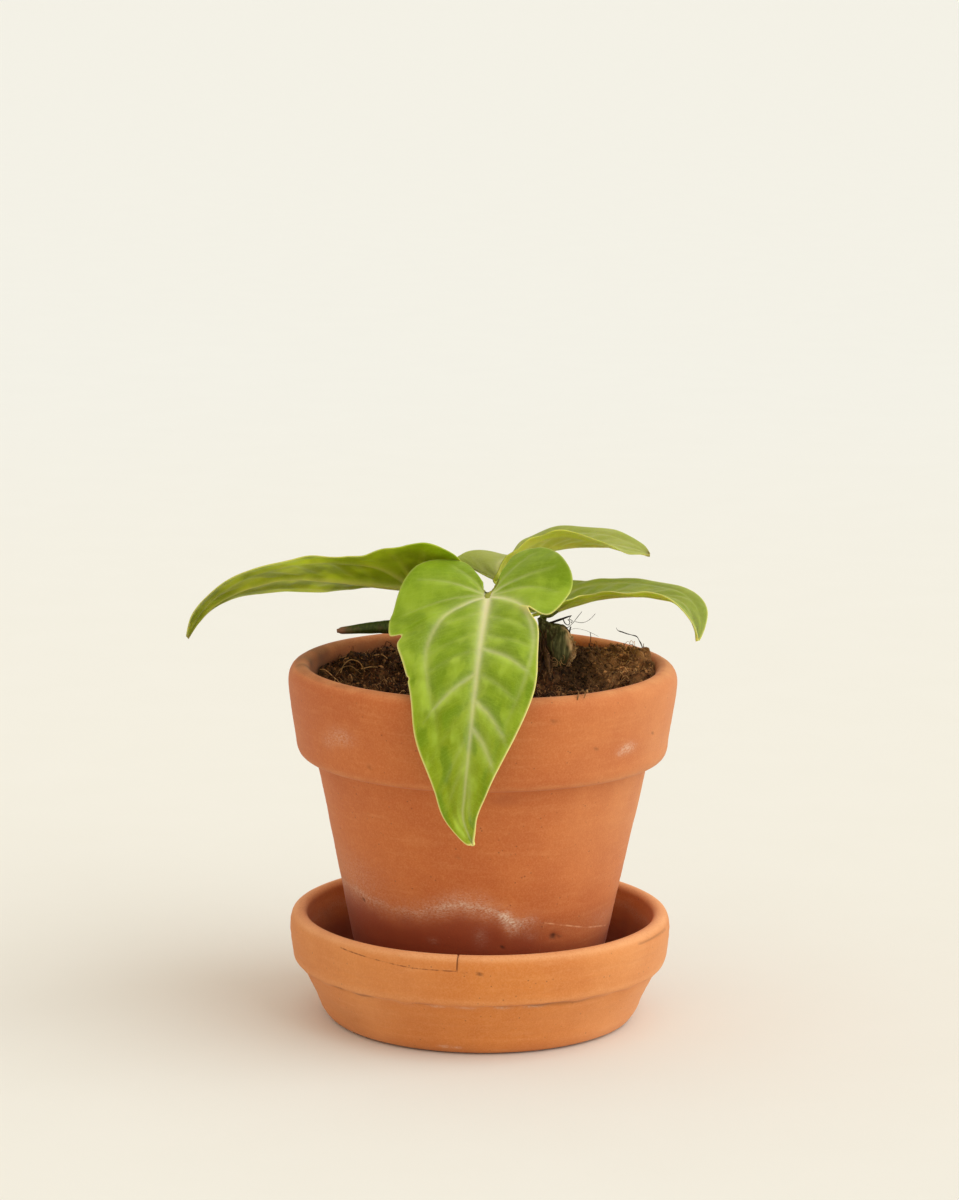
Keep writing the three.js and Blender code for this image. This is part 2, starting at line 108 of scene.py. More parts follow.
class Finish:
    """A material in the making: each method adds nodes and hands back the output."""

    def __init__(self, name, **gloss):
        self.material = bpy.data.materials.new(name)
        self.material.use_nodes = True
        self.tree = self.material.node_tree
        self.shader = self.tree.nodes["Principled BSDF"]
        for socket, value in gloss.items():
            self.shader.inputs[socket.replace("_", " ")].default_value = value

    def add(self, kind, inputs, output=0, **settings):
        """One node with its inputs, each a plain value or another node's output."""
        node = self.tree.nodes.new("ShaderNode" + kind)
        for key, value in settings.items():
            setattr(node, key, value)
        for socket, value in inputs.items():
            if isinstance(value, bpy.types.NodeSocket):
                self.tree.links.new(value, node.inputs[socket])
            else:
                node.inputs[socket].default_value = value
        return node.outputs[output]

    def place(self, stretch=(1, 1, 1)):
        """Where a point of the object is, in millimetres."""
        return self.stretched(self.add("TexCoord", {}, "Object"), [s / MM for s in stretch])

    def stretched(self, at, by):
        return self.add("VectorMath", {0: at, 1: by}, operation="MULTIPLY")

    def mark(self, name, output="Fac"):
        """A value that the mesh code stored on the vertices."""
        return self.add("Attribute", {}, output, attribute_name=name)

    def noise(self, at, size, detail=4.0, rough=0.55):
        """Soft random values whose lumps are about size millimetres across."""
        return self.add("TexNoise", {"Vector": at, "Scale": 1 / size, "Detail": detail, "Roughness": rough})

    def cells(self, at, size, feature="F1"):
        """The distance to the nearest of many random centres, or to the border between cells."""
        return self.add("TexVoronoi", {"Vector": at, "Scale": 1 / size}, feature=feature)

    def fit(self, value, low, high, start=0.0, end=1.0):
        """value from low..high to start..end, eased at both ends."""
        return self.add(
            "MapRange", {0: value, 1: low, 2: high, 3: start, 4: end}, interpolation_type="SMOOTHSTEP"
        )

    def maths(self, operation, a, b):
        return self.add("Math", {0: a, 1: b}, operation=operation)

    def times(self, a, b):
        return self.maths("MULTIPLY", a, b)

    def plus(self, a, b):
        return self.maths("ADD", a, b)

    def mix(self, amount, a, b):
        """Colour a, giving way to colour b as amount goes from 0 to 1."""
        return self.add("Mix", {0: amount, 6: a, 7: b}, 2, data_type="RGBA")

    def over(self, under, top, where, strength=None):
        """One colour laid over another: where it goes and, if it stays thin, how strongly."""
        return self.mix(where if strength is None else self.times(where, strength), under, top)

    def done(self, colour, rough, height, depth):
        """Joins everything to the shader. height is 0 to 1, and depth its size in millimetres."""
        link = self.tree.links.new
        link(colour, self.shader.inputs["Base Color"])
        link(rough, self.shader.inputs["Roughness"])
        bump = self.add("Bump", {"Height": height, "Distance": depth * MM, "Strength": 1.0})
        link(bump, self.shader.inputs["Normal"])
        return self.material


print("a mid terracotta in linear colour:", [round(c, 3) for c in tone(200, 118, 65)[:3]])

# %% [markdown]
# ## Floor and light
# The plant stands on plain pale paper. One large soft light from the right shows the forms, and
# an even pale world fills the shadows; many lamps could do that too, but would leave hot spots.
# A wide sun gives the soft shadow to the left. The plain display transform keeps pale paper
# pale, which a filmic one would turn grey.

# %% Floor and light
scene.view_settings.view_transform = "Standard"
FILL_LIGHT, FILL_SEEN = (0.86, 0.77, 0.655, 1), (0.90, 0.88, 0.79, 1)
SUN_TURN, SUN_HEIGHT, SUN_WIDTH = (math.radians(degrees) for degrees in (70, 34, 75))
FLOOR_HALF, FLOOR_DROP = 40.0, -0.00015

world = bpy.data.worlds.new("studio_fill")
world.use_nodes = True
scene.world = world
fill = world.node_tree
ray = fill.nodes.new("ShaderNodeLightPath")
pick = fill.nodes.new("ShaderNodeMix")
pick.data_type = "RGBA"
pick.inputs[6].default_value, pick.inputs[7].default_value = FILL_LIGHT, FILL_SEEN
fill.links.new(ray.outputs["Is Camera Ray"], pick.inputs[0])
fill.links.new(pick.outputs[2], fill.nodes["Background"].inputs["Color"])

sun_data = bpy.data.lights.new("large_soft_light", "SUN")
sun_data.energy, sun_data.angle, sun_data.color = 1.6, SUN_WIDTH, (0.88, 0.97, 1.0)
sun = bpy.data.objects.new("large_soft_light", sun_data)
sun.matrix_world = Matrix.Rotation(SUN_TURN, 4, "Z") @ Matrix.Rotation(math.pi / 2 - SUN_HEIGHT, 4, "X")
scene.collection.objects.link(sun)

floor_mesh = bpy.data.meshes.new("studio_floor")
floor_mesh.from_pydata(
    [(x * FLOOR_HALF, y * FLOOR_HALF, FLOOR_DROP) for x, y in ((-1, -1), (1, -1), (1, 1), (-1, 1))],
    [],
    [(0, 1, 2, 3)],
)
floor = bpy.data.objects.new("studio_floor", floor_mesh)
scene.collection.objects.link(floor)
paper = Finish("pale_paper", Specular_IOR_Level=0.1)
at = paper.place()
fibres = paper.noise(at, 40, 3)
away = paper.fit(paper.add("VectorMath", {0: at}, 1, operation="LENGTH"), 150, 1800)
near_tone = paper.mix(fibres, tone(233, 234, 229), tone(235, 236, 232))
far_tone = paper.mix(fibres, tone(232, 236, 236), tone(234, 238, 238))
floor_mesh.materials.append(
    paper.done(paper.mix(away, near_tone, far_tone), paper.fit(fibres, 0, 1, 0.85, 0.95), fibres, 0.02)
)
floor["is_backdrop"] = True
print("sun from the right and front,", round(math.degrees(sun_data.angle)), "degrees wide")

# %% [markdown]
# ## Smooth curves and gentle unevenness
# Two tools serve nearly every piece. The first draws a smooth run through a few points, as a
# bent strip of wood would: profiles, stalks and fibres all start as such a run. The second
# gives each point in space a smooth random value, so that clay, leaves and mix are never
# perfectly even. The random values come from a fixed rule, so each run gives the same object.


# %% Curves and unevenness
def smooth_run(points, spacing=None, count=None):
    """Evenly spaced points on a smooth curve through the given ones (centripetal Catmull-Rom)."""
    p = np.asarray(points, float)
    p = np.vstack([2 * p[0] - p[1], p, 2 * p[-1] - p[-2]])
    fine = []
    for k in range(1, len(p) - 2):
        a, b, c, d = p[k - 1 : k + 3]
        t1, t2, t3 = np.cumsum([max(np.linalg.norm(v), 1e-9) ** 0.5 for v in (b - a, c - b, d - c)])
        t = np.linspace(t1, t2, 24, endpoint=False)[:, None]
        ab = (t1 - t) / t1 * a + t / t1 * b
        bc = (t2 - t) / (t2 - t1) * b + (t - t1) / (t2 - t1) * c
        cd = (t3 - t) / (t3 - t2) * c + (t - t2) / (t3 - t2) * d
        abc = (t2 - t) / t2 * ab + t / t2 * bc
        bcd = (t3 - t) / (t3 - t1) * bc + (t - t1) / (t3 - t1) * cd
        fine.append((t2 - t) / (t2 - t1) * abc + (t - t1) / (t2 - t1) * bcd)
    fine = np.vstack([*fine, p[-2:-1]])
    length = np.concatenate([[0], np.cumsum(np.linalg.norm(np.diff(fine, axis=0), axis=1))])
    steps = np.linspace(0, length[-1], count or max(2, int(round(length[-1] / spacing)) + 1))
    return np.stack([np.interp(steps, length, fine[:, k]) for k in range(p.shape[1])], 1)


def eased(values, u):
    """A smooth value from 0 to 1 of u, through evenly spaced ones (uniform Catmull-Rom)."""
    v = np.asarray(values, float)
    v = np.concatenate([[2 * v[0] - v[1]], v, [2 * v[-1] - v[-2]]])
    f = np.clip(u, 0, 1) * (len(v) - 3)
    i = np.minimum(np.floor(f).astype(int), len(v) - 4)
    f = f - i
    if v.ndim > 1:
        f = f[..., None]
    a, b, c, d = v[i], v[i + 1], v[i + 2], v[i + 3]
    return 0.5 * (2 * b + (c - a) * f + (2 * a - 5 * b + 4 * c - d) * f**2 + (3 * b - 3 * c + d - a) * f**3)


STIR = np.array([374761393, 668265263, 2147483647, 974711, 1274126177])  # large odd numbers that stir bits
WHOLE, HALF = 0xFFFFFFFF, 0xFFFF


def unevenness(points, size, seed=0):
    """A smooth random value, about -1 to 1, whose lumps are size millimetres across."""
    q = np.asarray(points, float) / size + 37.17 * (seed + 1)
    cell = np.floor(q).astype(np.int64)
    f = q - cell
    f = f * f * (3 - 2 * f)
    total = 0
    for corner in np.ndindex(2, 2, 2):
        h = (cell + corner) @ STIR[:3] + seed * STIR[3] & WHOLE
        h = (h ^ h >> 13) * STIR[4] & WHOLE
        h = ((h ^ h >> 16) & HALF) / (HALF / 2) - 1
        weight = np.prod(np.where(corner, f, 1 - f), axis=-1)
        total = total + weight * h
    return total


def hill(distance, width):
    """1 at distance 0, falling smoothly to nothing a couple of widths away."""
    return np.exp(-((distance / width) ** 2))


print("a run of 3 points becomes", len(smooth_run([(0, 0), (5, 2), (9, 0)], 1)), "points at 1 mm")

# %% [markdown]
# ## Making a piece
# Every piece ends the same way: points and faces become a mesh, values stored on the vertices
# guide its material, the piece rides on the object's body, the solid it stands for is hidden,
# and it takes its finishes. Writing that once keeps each later step short.


# %% Making a piece
def make_piece(name, points, faces, finishes, stands_for=(), marks=None, sides=None, smooth=True):
    """A mesh from points in millimetres, riding on the object's one body."""
    mesh = bpy.data.meshes.new(name)
    mesh.from_pydata((np.asarray(points) * MM).tolist(), [], [tuple(int(i) for i in f) for f in faces])
    for finish in finishes:
        mesh.materials.append(finish)
    if sides is not None:
        mesh.polygons.foreach_set("material_index", np.asarray(sides, np.int32))
    mesh.polygons.foreach_set("use_smooth", np.full(len(faces), smooth))
    for key, values in (marks or {}).items():
        values = np.asarray(values, np.float32)
        kind = "FLOAT_VECTOR" if values.ndim == 2 else "FLOAT"
        layer = mesh.attributes.new(key, kind, "POINT")
        layer.data.foreach_set("vector" if values.ndim == 2 else "value", values.ravel())
    mesh.validate()
    piece = bpy.data.objects.new(name, mesh)
    scene.collection.objects.link(piece)
    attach(piece, "root")
    if stands_for:
        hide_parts(*stands_for)
    mesh.calc_loop_triangles()
    print(f"{name}: {len(mesh.loop_triangles)} triangles")
    return piece


def grid_faces(rows, columns):
    """Quads between rows of points that each go all the way round."""
    row = np.arange(rows - 1)[:, None] * columns
    c = np.arange(columns)[None, :]
    after = (c + 1) % columns
    corners = (row + c, row + after, row + columns + after, row + columns + c)
    return np.stack(corners, -1).reshape(-1, 4)


# %% [markdown]
# ## Turned clay
# Pot and saucer were shaped on a wheel: one profile, swept round. A screw modifier could do
# that, but then nothing could vary along the way round. Here the sweep is done point by point,
# so the maker's turning lines, a slightly uneven wall, chips, a firing crack and pits are real
# relief. Extra columns of points are laid at seams, where fine detail needs them.


# %% Turned clay
SEAM_COLUMNS = np.array([-0.8, -0.4, -0.15, 0, 0.15, 0.4, 0.8])  # degrees to both sides of a seam


def turn_clay(profile, spacing, columns, seams):
    """The swept wall, as rows x columns of points with the facts that relief and marks need."""
    run = smooth_run(profile, spacing)
    run = np.maximum(run, np.min(profile, axis=0))  # a smooth curve may swing a hair too far
    tangent = np.gradient(run, axis=0)
    tangent /= np.linalg.norm(tangent, axis=1)[:, None]
    angles = [np.linspace(-180, 180, columns, endpoint=False), *(s + SEAM_COLUMNS for s in seams)]
    a = np.radians(np.unique(np.concatenate(angles)))[None, :]
    r, z = run[:, :1] + 0 * a, run[:, 1:] + 0 * a
    clay = {"r": r, "z": z, "angle": np.degrees(a) + 0 * r, "dir": np.stack([np.sin(a), -np.cos(a)], -1)}
    clay["out"], clay["up"] = tangent[:, 1:] + 0 * a, -tangent[:, :1] + 0 * a
    clay["at"] = np.stack([r * np.sin(a), -r * np.cos(a), z], -1)
    clay["outside"] = np.arange(len(z))[:, None] < np.argmax(z[:, 0])
    return clay


def turning_lines(clay, seed):
    """Fine rings from the wheel, broader waves, and an outline that is never quite round."""
    at = clay["at"]
    fine = unevenness(at * (0.05, 0.05, 1), 0.9, seed)
    broad = unevenness(at * (0.2, 0.2, 1), 5, seed + 1)
    return 0.05 * fine + 0.10 * broad + 0.16 * unevenness(at, 24, seed + 2)


def fire_clay(name, node, clay, relief, finish, marks):
    """The wall with its relief, moved out along the wall's own slope, as one closed piece."""
    out = clay["dir"] * (clay["out"] * relief)[..., None]
    points = clay["at"] + np.concatenate([out, (clay["up"] * relief)[..., None]], -1)
    marks = {key: values.ravel() for key, values in marks.items()}
    make_piece(name, points.reshape(-1, 3), grid_faces(*relief.shape)[:, ::-1], [finish], [node], marks)


# %% [markdown]
# ## Spots and dents in clay
# Chalk, damp, soil and chips sit at certain places of the wall. A place is given by its angle,
# 0 at the front and growing to the right, and its height. Painting a texture would need an
# unwrapped surface; a value for every point of the wall needs only these two numbers.


# %% Spots and dents
def round_table(angle, table):
    """A value that changes round the pot, given at some angles."""
    a, v = np.array(sorted(table)).T
    return np.interp(angle, a, v, period=360)


def spot(clay, angle, height, wide, high):
    """1 on a spot of the wall, given by its angle and height and fading over wide x high mm."""
    turn = (clay["angle"] - angle + 180) % 360 - 180
    return hill(np.radians(turn) * clay["r"], wide) * hill(clay["z"] - height, high)


def spots(clay, places):
    """Several spots at once, each with a strength as its last number."""
    return sum(strength * spot(clay, *place) for *place, strength in places)


def dented(clay, relief, scar_and_shade, dents, flat=1.0, dark=1.0):
    """Relief and scars with dents added, each given as angle, height, size and depth."""
    for angle, height, size, depth in dents:
        dent = spot(clay, angle, height, size, size * flat) * clay["outside"]
        relief = relief - depth * dent
        scar_and_shade = np.maximum(scar_and_shade, np.minimum(1, dark * dent))
    return relief, scar_and_shade


# %% [markdown]
# ## Unglazed clay
# Fired clay is never one colour: clouds from the kiln, streaks from the wheel, grains and specks
# of iron. Over that come what time adds, each where its mark says: worn edges, damp, chalk, soil,
# one thin line and scars. The dry mark paints light on the side that faces the lamp, and painted
# shade rides with damp under the collar, with soil inside the pot and with scars in the saucer's
# fold. An even colour with a bump would read as plastic.

# %% Clay finish
IRON_BROWN, LIME_WHITE, SCAR_AND_SHADE_BROWN = tone(110, 52, 30), tone(232, 206, 184), tone(72, 29, 17)
SOIL_AND_SHADE_DARK, SOIL_AND_SHADE_LIGHT = tone(58, 34, 20), tone(96, 58, 36)
CLAY_GLOSS = dict(
    Specular_IOR_Level=0.55, Specular_Tint=(1, 0.94, 0.6, 1), Sheen_Weight=0.06, Sheen_Roughness=0.5
)


def clay_finish(name, base, dark, light, damp_and_shade, line_tone, line_half):
    """Unglazed clay, with everything that its marks say lies on it and the painted light and shade that they
    carry.
    """
    f = Finish(name, **CLAY_GLOSS)
    at, rings = f.place(), f.place((0.12, 0.12, 1))
    cloud, streak = f.noise(at, 24, 4, 0.6), f.noise(rings, 1.6, 4)
    grain, speck = f.noise(at, 0.55, 3, 0.7), f.cells(at, 2.1)
    colour = f.mix(f.fit(cloud, 0.3, 0.7), dark, base)
    colour = f.over(colour, light, f.fit(streak, 0.48, 0.8), 0.15)
    colour = f.over(colour, light, f.fit(grain, 0.35, 0.7), 0.2)
    colour = f.over(colour, dark, f.fit(f.noise(at, 1.6, 3, 0.7), 0.58, 0.4), 0.25)
    iron = f.times(f.fit(speck, 0.16, 0.08), f.fit(f.noise(at, 6, 2), 0.5, 0.62))
    colour = f.over(colour, IRON_BROWN, iron, 0.55)
    # painted light: the dry mark makes the side that faces the lamp lighter
    colour = f.over(colour, light, f.mark("dry"), f.fit(cloud, 0.2, 0.6, 0.6, 1))
    colour = f.over(colour, light, f.mark("wear"), f.fit(grain, 0.2, 0.6, 0.4, 1))
    # the damp mark is real damp, and painted shade under the pot's collar
    patchy = f.times(f.maths("SUBTRACT", f.noise(at, 6, 4), 0.5), 0.45)
    soaked_and_shaded = f.fit(f.plus(f.mark("damp_and_shade"), patchy), 0.02, 0.95)
    colour = f.over(colour, damp_and_shade, soaked_and_shaded)
    dust = f.times(f.mark("chalk"), f.fit(f.noise(f.place((1, 1, 1.6)), 0.8, 5, 0.7), 0.3, 0.74))
    colour = f.over(colour, LIME_WHITE, f.maths("MINIMUM", dust, 0.92))
    # the soiled mark is soil and painted shade inside the pot, and a darker left lip
    colour = f.over(colour, f.mix(grain, SOIL_AND_SHADE_DARK, SOIL_AND_SHADE_LIGHT), f.mark("soiled_and_shaded"))
    off_line = f.add("Math", {0: f.mark("off_line")}, operation="ABSOLUTE")
    broken = f.fit(f.noise(at, 2.6, 3), 0.4, 0.62, 0.15, 0.9)
    colour = f.over(colour, line_tone, f.fit(off_line, line_half, 0.3 * line_half), broken)
    # the scar mark is chips and cracks, and a painted shade line in the saucer's fold
    colour = f.over(colour, SCAR_AND_SHADE_BROWN, f.mark("scar_and_shade"))
    rough = f.fit(f.plus(grain, f.times(soaked_and_shaded, -0.4)), -0.2, 0.9, 0.52, 0.82)
    height = f.plus(f.times(grain, 0.5), f.times(f.noise(at, 0.22, 2), 0.25))
    height = f.maths("SUBTRACT", height, f.times(iron, 0.5))
    return f.done(colour, rough, height, 0.12)


# %% [markdown]
# ## The pot
# A standard collared pot: a tapered body, a deep collar with a soft lower edge, and a rounded
# lip. A potter may hold a card template against the turning clay. Here the template is a list
# of points, radius and height, that starts at the drain hole, goes out under the floor, up the
# outside, over the lip and down the inside.

# %% Shape of the pot
POT_PROFILE = [
    (6, 6.3), (20, 6.3), (34, 6.3), (35.2, 6.5), (35.9, 7.4), (37.6, 15), (44.1, 46), (50.9, 79), (51.4, 81),
    (51.9, 82.1), (53, 82.6), (54.6, 82.7), (56.2, 83.6), (57.2, 85.4), (57.7, 88.6), (59.2, 98.5),
    (60, 105.4), (59.85, 108), (58.9, 110.1), (57.2, 111.2), (55.4, 111.4), (54.0, 110.4), (53.4, 108.4),
    (51.6, 97), (46.8, 84), (31, 17), (30, 14.9), (28, 14.6), (14, 14.6), (6.4, 14.6), (6, 14.0), (6, 6.9),
    (6, 6.3),
]
LIP_TOP, COLLAR_EDGE, UNDERSIDE = 111.2, 83.8, 6.8
CHALK_PEAK = 11.5

pot_clay = turn_clay(POT_PROFILE, 0.85, 264, [CHALK_PEAK])
at, angle, height, outside = (pot_clay[key] for key in ("at", "angle", "z", "outside"))
inside = ~outside & (height > 15) & (pot_clay["r"] > 25)
print("pot:", height.shape[0], "rows of", height.shape[1], "points, lip at", round(height.max(), 1), "mm")

# %% [markdown]
# ## Chips in the pot
# A used pot has lost small flakes, mostly at its foot and collar, and shows the darker clay
# under its skin there. Cutting them with Booleans would tear the even net of points, so each is
# a smooth dent.

# %% Chips
POT_CHIPS = [  # angle, height, size, depth
    (32.3, 33.8, 1.0, 0.6), (36, 33.2, 0.45, 0.25), (9.8, 31.6, 0.5, 0.3), (-8.7, 61.1, 0.45, 0.25),
    (-56.2, 41.6, 0.5, 0.3), (60.9, 95.8, 0.5, 0.3), (21, 104.7, 0.6, 0.2), (-140, 70, 0.8, 0.4),
    (118, 92, 0.7, 0.4), (160, 50, 0.6, 0.3), (-35, 88.5, 0.5, 0.2), (35.7, 94.6, 0.4, 0.2),
]
relief, scar_and_shade = dented(pot_clay, turning_lines(pot_clay, 3), 0 * height, POT_CHIPS, flat=0.8, dark=1.2)
print("chips up to", max(depth for *_, depth in POT_CHIPS), "mm deep")

# %% [markdown]
# ## The tide line
# Water drawn up the foot leaves lime where it dries: an irregular white line above the damp
# part. Its height and strength are given at a few angles round the pot, and unevenness frays
# it. At the right it is level and thins to a hairline, which the finish draws from the distance
# to it, finer than the rows of points could. Away from it that distance is simply large.

# %% Tide line and chalk
TIDE_HEIGHT = [  # angle, height
    (-150, 39), (-115, 42), (-72, 45), (-56, 43.8), (-38, 41.6), (-25, 41.9), (-16, 44.1), (-8, 45.7),
    (0, 45.4), (6, 43.5), (11.4, 40.6), (16.3, 39.7), (23, 40.1), (26, 38.9), (35, 37.3), (50, 34.4),
    (71, 31.6), (100, 36), (130, 41), (165, 37),
]
TIDE_STRENGTH = [  # angle, strength
    (-150, 0.5), (-115, 0.35), (-76, 0.4), (-56, 0.45), (-38, 0.35), (-25, 0.6), (-16, 0.75), (-8, 0.8),
    (0, 0.85), (6, 0.95), (12, 1.3), (17, 1.0), (22, 0.5), (26, 0.08), (71, 0.05), (90, 0.3), (130, 0.7),
    (165, 0.5),
]
CHALK_SPOTS = [  # angle, height, width, height of the spot, strength
    (-62, 48, 15, 8, 0.24), (10.5, 41.5, 1.6, 1.6, 0.9), (48.5, 93.3, 3.2, 1.5, 0.75),
    (45.3, 92.2, 1.5, 1, 0.45), (-46, 96.2, 5, 2.6, 0.38), (-52, 93.5, 3, 2, 0.25), (150, 95, 6, 2, 0.5),
    (-110, 90, 5, 2, 0.35), (0.5, 35, 2, 3, 0.2), (22, 34.5, 2, 1.2, 0.15), (-20, 33, 1.5, 1, 0.2),
]
LEVEL_FROM, LEVEL_TO = 24, 76  # angles between which the line is level and clean
NO_LINE = 9.0

frayed = np.where((angle > LEVEL_FROM) & (angle < LEVEL_TO), 0.12, 1)
tide = height - round_table(angle, TIDE_HEIGHT)
tide -= frayed * (0.8 * unevenness(at, 4, 9) + 0.4 * unevenness(at, 1.2, 10))
ridge = np.where(tide > 0, hill(tide, 0.8), 0.62 * hill(tide, 3.4) + 0.38 * hill(tide, 0.8))
chalk = ridge * round_table(angle, TIDE_STRENGTH) * (0.8 + 0.4 * unevenness(at, 5, 11))
chalk += 0.3 * hill(tide - 1.6, 2.6) * hill(angle + 8, 24) + 0.2 * hill(tide - 3, 3) * hill(angle - 66, 14)
chalk += spots(pot_clay, CHALK_SPOTS)
level_line = np.where((angle > LEVEL_FROM + 3) & (angle < LEVEL_TO - 3), tide, NO_LINE)

# %% [markdown]
# ## Damp, soil, wear and painted light on the pot
# The foot is dark with water up to the tide line, and a painted shade lies under the collar.
# The inner wall darkens towards the mix with soil and painted shade, and the lip is darker at
# the left. Its edge is rubbed pale, and the right side, which faces the lamp, is lighter with
# painted light. Each is a value from 0 to 1 at every point.

# %% Damp, soil, wear and painted light
damp_and_shade = np.clip(0.36 - tide / 14, 0, 0.9) * np.clip((5 - tide) / 5, 0, 1) * outside
damp_and_shade = np.maximum(damp_and_shade * (1 - 0.45 * hill(angle - 48, 26)), 0.6 * (height < UNDERSIDE))
# painted shade under the collar, carried by the damp mark
painted_collar_shade = spot(pot_clay, 9, 79.5, 10, 2.8)
damp_and_shade += 0.34 * painted_collar_shade * outside

# the inner wall darkens towards the mix with soil and painted shade, and the lip is darker at the left
over_lip = inside + outside * np.clip((height - 110.5) / 0.7, 0, 1)
left_lip_darkening = hill(height - 110, 2.0) * hill(angle + 84, 50) * (0.7 + 0.5 * unevenness(at, 4, 15))
soiled_and_shaded = inside * np.clip(0.15 + 0.3 * unevenness(at, 6, 12) - (height - 109) / 5, 0, 0.75)
soiled_and_shaded = soiled_and_shaded + 0.75 * over_lip * left_lip_darkening

edges = hill(height - LIP_TOP, 1.1) + 0.6 * hill(height - COLLAR_EDGE, 0.9) * outside
wear = np.clip(0.45 * edges * (0.7 + 0.5 * unevenness(at, 3, 13)), 0, 1)
# painted light: the dry mark makes the right side, which faces the lamp, lighter
dry = 0.42 * hill(angle - 84, 46) * np.clip((height - 38) / 30, 0, 1) * outside
dry *= 0.85 + 0.3 * unevenness(at, 12, 14)

# %% The pot as a piece
pot_finish = clay_finish(
    "pot_terracotta",
    base=tone(197, 105, 50),
    dark=tone(184, 90, 40),
    light=tone(232, 166, 108),
    damp_and_shade=tone(150, 64, 36),
    line_tone=tone(226, 160, 116),
    line_half=0.34,
)
marks = dict(damp_and_shade=damp_and_shade, scar_and_shade=scar_and_shade, soiled_and_shaded=soiled_and_shaded, wear=wear, dry=dry, off_line=level_line)
fire_clay("pot_wall", "pot", pot_clay, relief, pot_finish, {"chalk": chalk * outside, **marks})

# %% [markdown]
# ## The saucer
# The saucer is newer and yellower than the pot. It has a flared foot, a fold, and above it an
# outside band with a rounded lip. It is turned from a profile like the pot, with fine level
# lines all over the band and a slightly uneven fold.

# %% Shape of the saucer
SAUCER_PROFILE = [
    (0, 0), (20, 0), (44.5, 0), (46.4, 0.15), (47.6, 0.7), (48.6, 1.7), (49.9, 3.9), (51.3, 7.5),
    (54.2, 13.4), (55.7, 16.5), (56.5, 17.4), (57.4, 17.8), (58.1, 18.6), (58.7, 21.5), (59.3, 27.6),
    (59.1, 30.6), (58.3, 32.4), (56.9, 33.2), (55.3, 33.2), (54.3, 32.4), (53.7, 30.4), (48.4, 8.6),
    (47.5, 7.1), (45.6, 6.2), (42, 6.0), (20, 6.0), (0, 6.0),
]
CRACK = -6.6  # the angle of the crack through the lip
FOLD = 17.3

dish = turn_clay(SAUCER_PROFILE, 0.5, 252, [CRACK, 48, -131])
at, angle, height, outside = (dish[key] for key in ("at", "angle", "z", "outside"))
inside = ~outside
relief = turning_lines(dish, 21) * np.where(outside, 1, 0.6)
relief += outside * 0.10 * unevenness(at * (0.04, 0.04, 1), 0.8, 25) * hill(height - 24, 9)
relief += (outside & (height > 16.5) & (height < 18.2)) * 0.35 * unevenness(at, 4, 26)
print("saucer:", height.shape[0], "rows of", height.shape[1], "points, lip at", round(height.max(), 1), "mm")

# %% [markdown]
# ## Cracks in the saucer
# Drying clay shrinks and may split. A short crack goes through the lip, a hairline runs left
# from its lower end, another marks the band at the right, and pin holes are where bubbles
# burst. Extra columns of points lie at the crack, so that it can be narrow. The foot stays flat
# on the ground: there, relief only goes inwards.

# %% Cracks and pin holes
HAIR_START = -46.0
PIN_HOLES = [  # angle, height, size, depth
    (-4.9, 28.6, 0.45, 0.5), (-0.2, 28.4, 0.45, 0.5), (140, 25, 0.6, 0.5), (-95, 29, 0.5, 0.4),
    (77, 9, 0.6, 0.4),
]
through_lip = np.clip((height - 28.9) / 0.6, 0, 1) * (outside | (height > 32.3))
crack = hill(np.radians(angle - CRACK) * dish["r"], 0.16) * through_lip
left_of_crack = (angle > HAIR_START) & (angle < CRACK) & outside
hair_level = 31.2 - 2.1 * np.clip((angle - HAIR_START) / 26, 0, 1)
hair = hill(height - hair_level, 0.2) * left_of_crack * (0.55 + 0.45 * unevenness(at, 2.5, 27))
side_hair = 0.6 * hill(height - 31.2 + 0.02 * (angle - 59), 0.3) * (angle > 55) * (angle < 76) * outside
# a painted shade line along the fold, drawn with the scars
painted_fold_shade = 0.5 * hill(height - FOLD, 0.5) * outside * np.clip(unevenness(at, 6, 28) * 1.8, 0, 1)
relief -= 0.5 * crack + 0.2 * hair + 0.15 * side_hair
relief = np.where(height < 0.6, -0.5 * np.abs(relief), relief)
scar_and_shade = np.clip(0.9 * crack + 0.7 * side_hair + painted_fold_shade, 0, 1)
relief, scar_and_shade = dented(dish, relief, scar_and_shade, PIN_HOLES)
hairline = np.where(left_of_crack, height - hair_level, NO_LINE)

# %% [markdown]
# ## Chalk, damp, wear and painted light on the saucer
# Chalk sits in the fold and at the foot. The inside is dark where water stood, with a faint
# chalk edge above it and soil in its corner. The lip and the band's lower edge are rubbed pale.
# The right side, which faces the lamp, and the lower left are lighter with painted light.

# %% Chalk, damp, wear and painted light
SAUCER_CHALK = [  # angle, height, width, height of the spot, strength
    (-12, 2.6, 1.6, 0.5, 0.8), (-7.5, 2.5, 1.2, 0.4, 0.8), (150, 14, 3, 1.5, 0.8), (-13, 16.9, 2, 0.4, 0.7),
    (-4, 16.9, 2.5, 0.4, 0.7), (7, 16.9, 2, 0.4, 0.7), (17, 16.9, 3, 0.4, 0.7),
]
chalk = spots(dish, SAUCER_CHALK) * outside
chalk += 0.25 * inside * hill(height - 27 - 2 * unevenness(at, 9, 29), 1.6)
damp_and_shade = inside * np.clip((30 - height + 2 * unevenness(at, 7, 30)) / 13, 0, 1)
soiled_and_shaded = inside * np.clip(0.35 * hill(height - 6.5, 3) * (0.6 + unevenness(at, 5, 31)), 0, 0.5)
soiled_and_shaded = np.maximum(soiled_and_shaded, spots(dish, [(-52, 6, 9, 4, 0.1), (30, 17, 8, 0.5, 0.35)]) * outside)
wear = 0.85 * hill(height - 33.0, 1.1) + 0.25 * outside * hill(height - 19, 1.2)
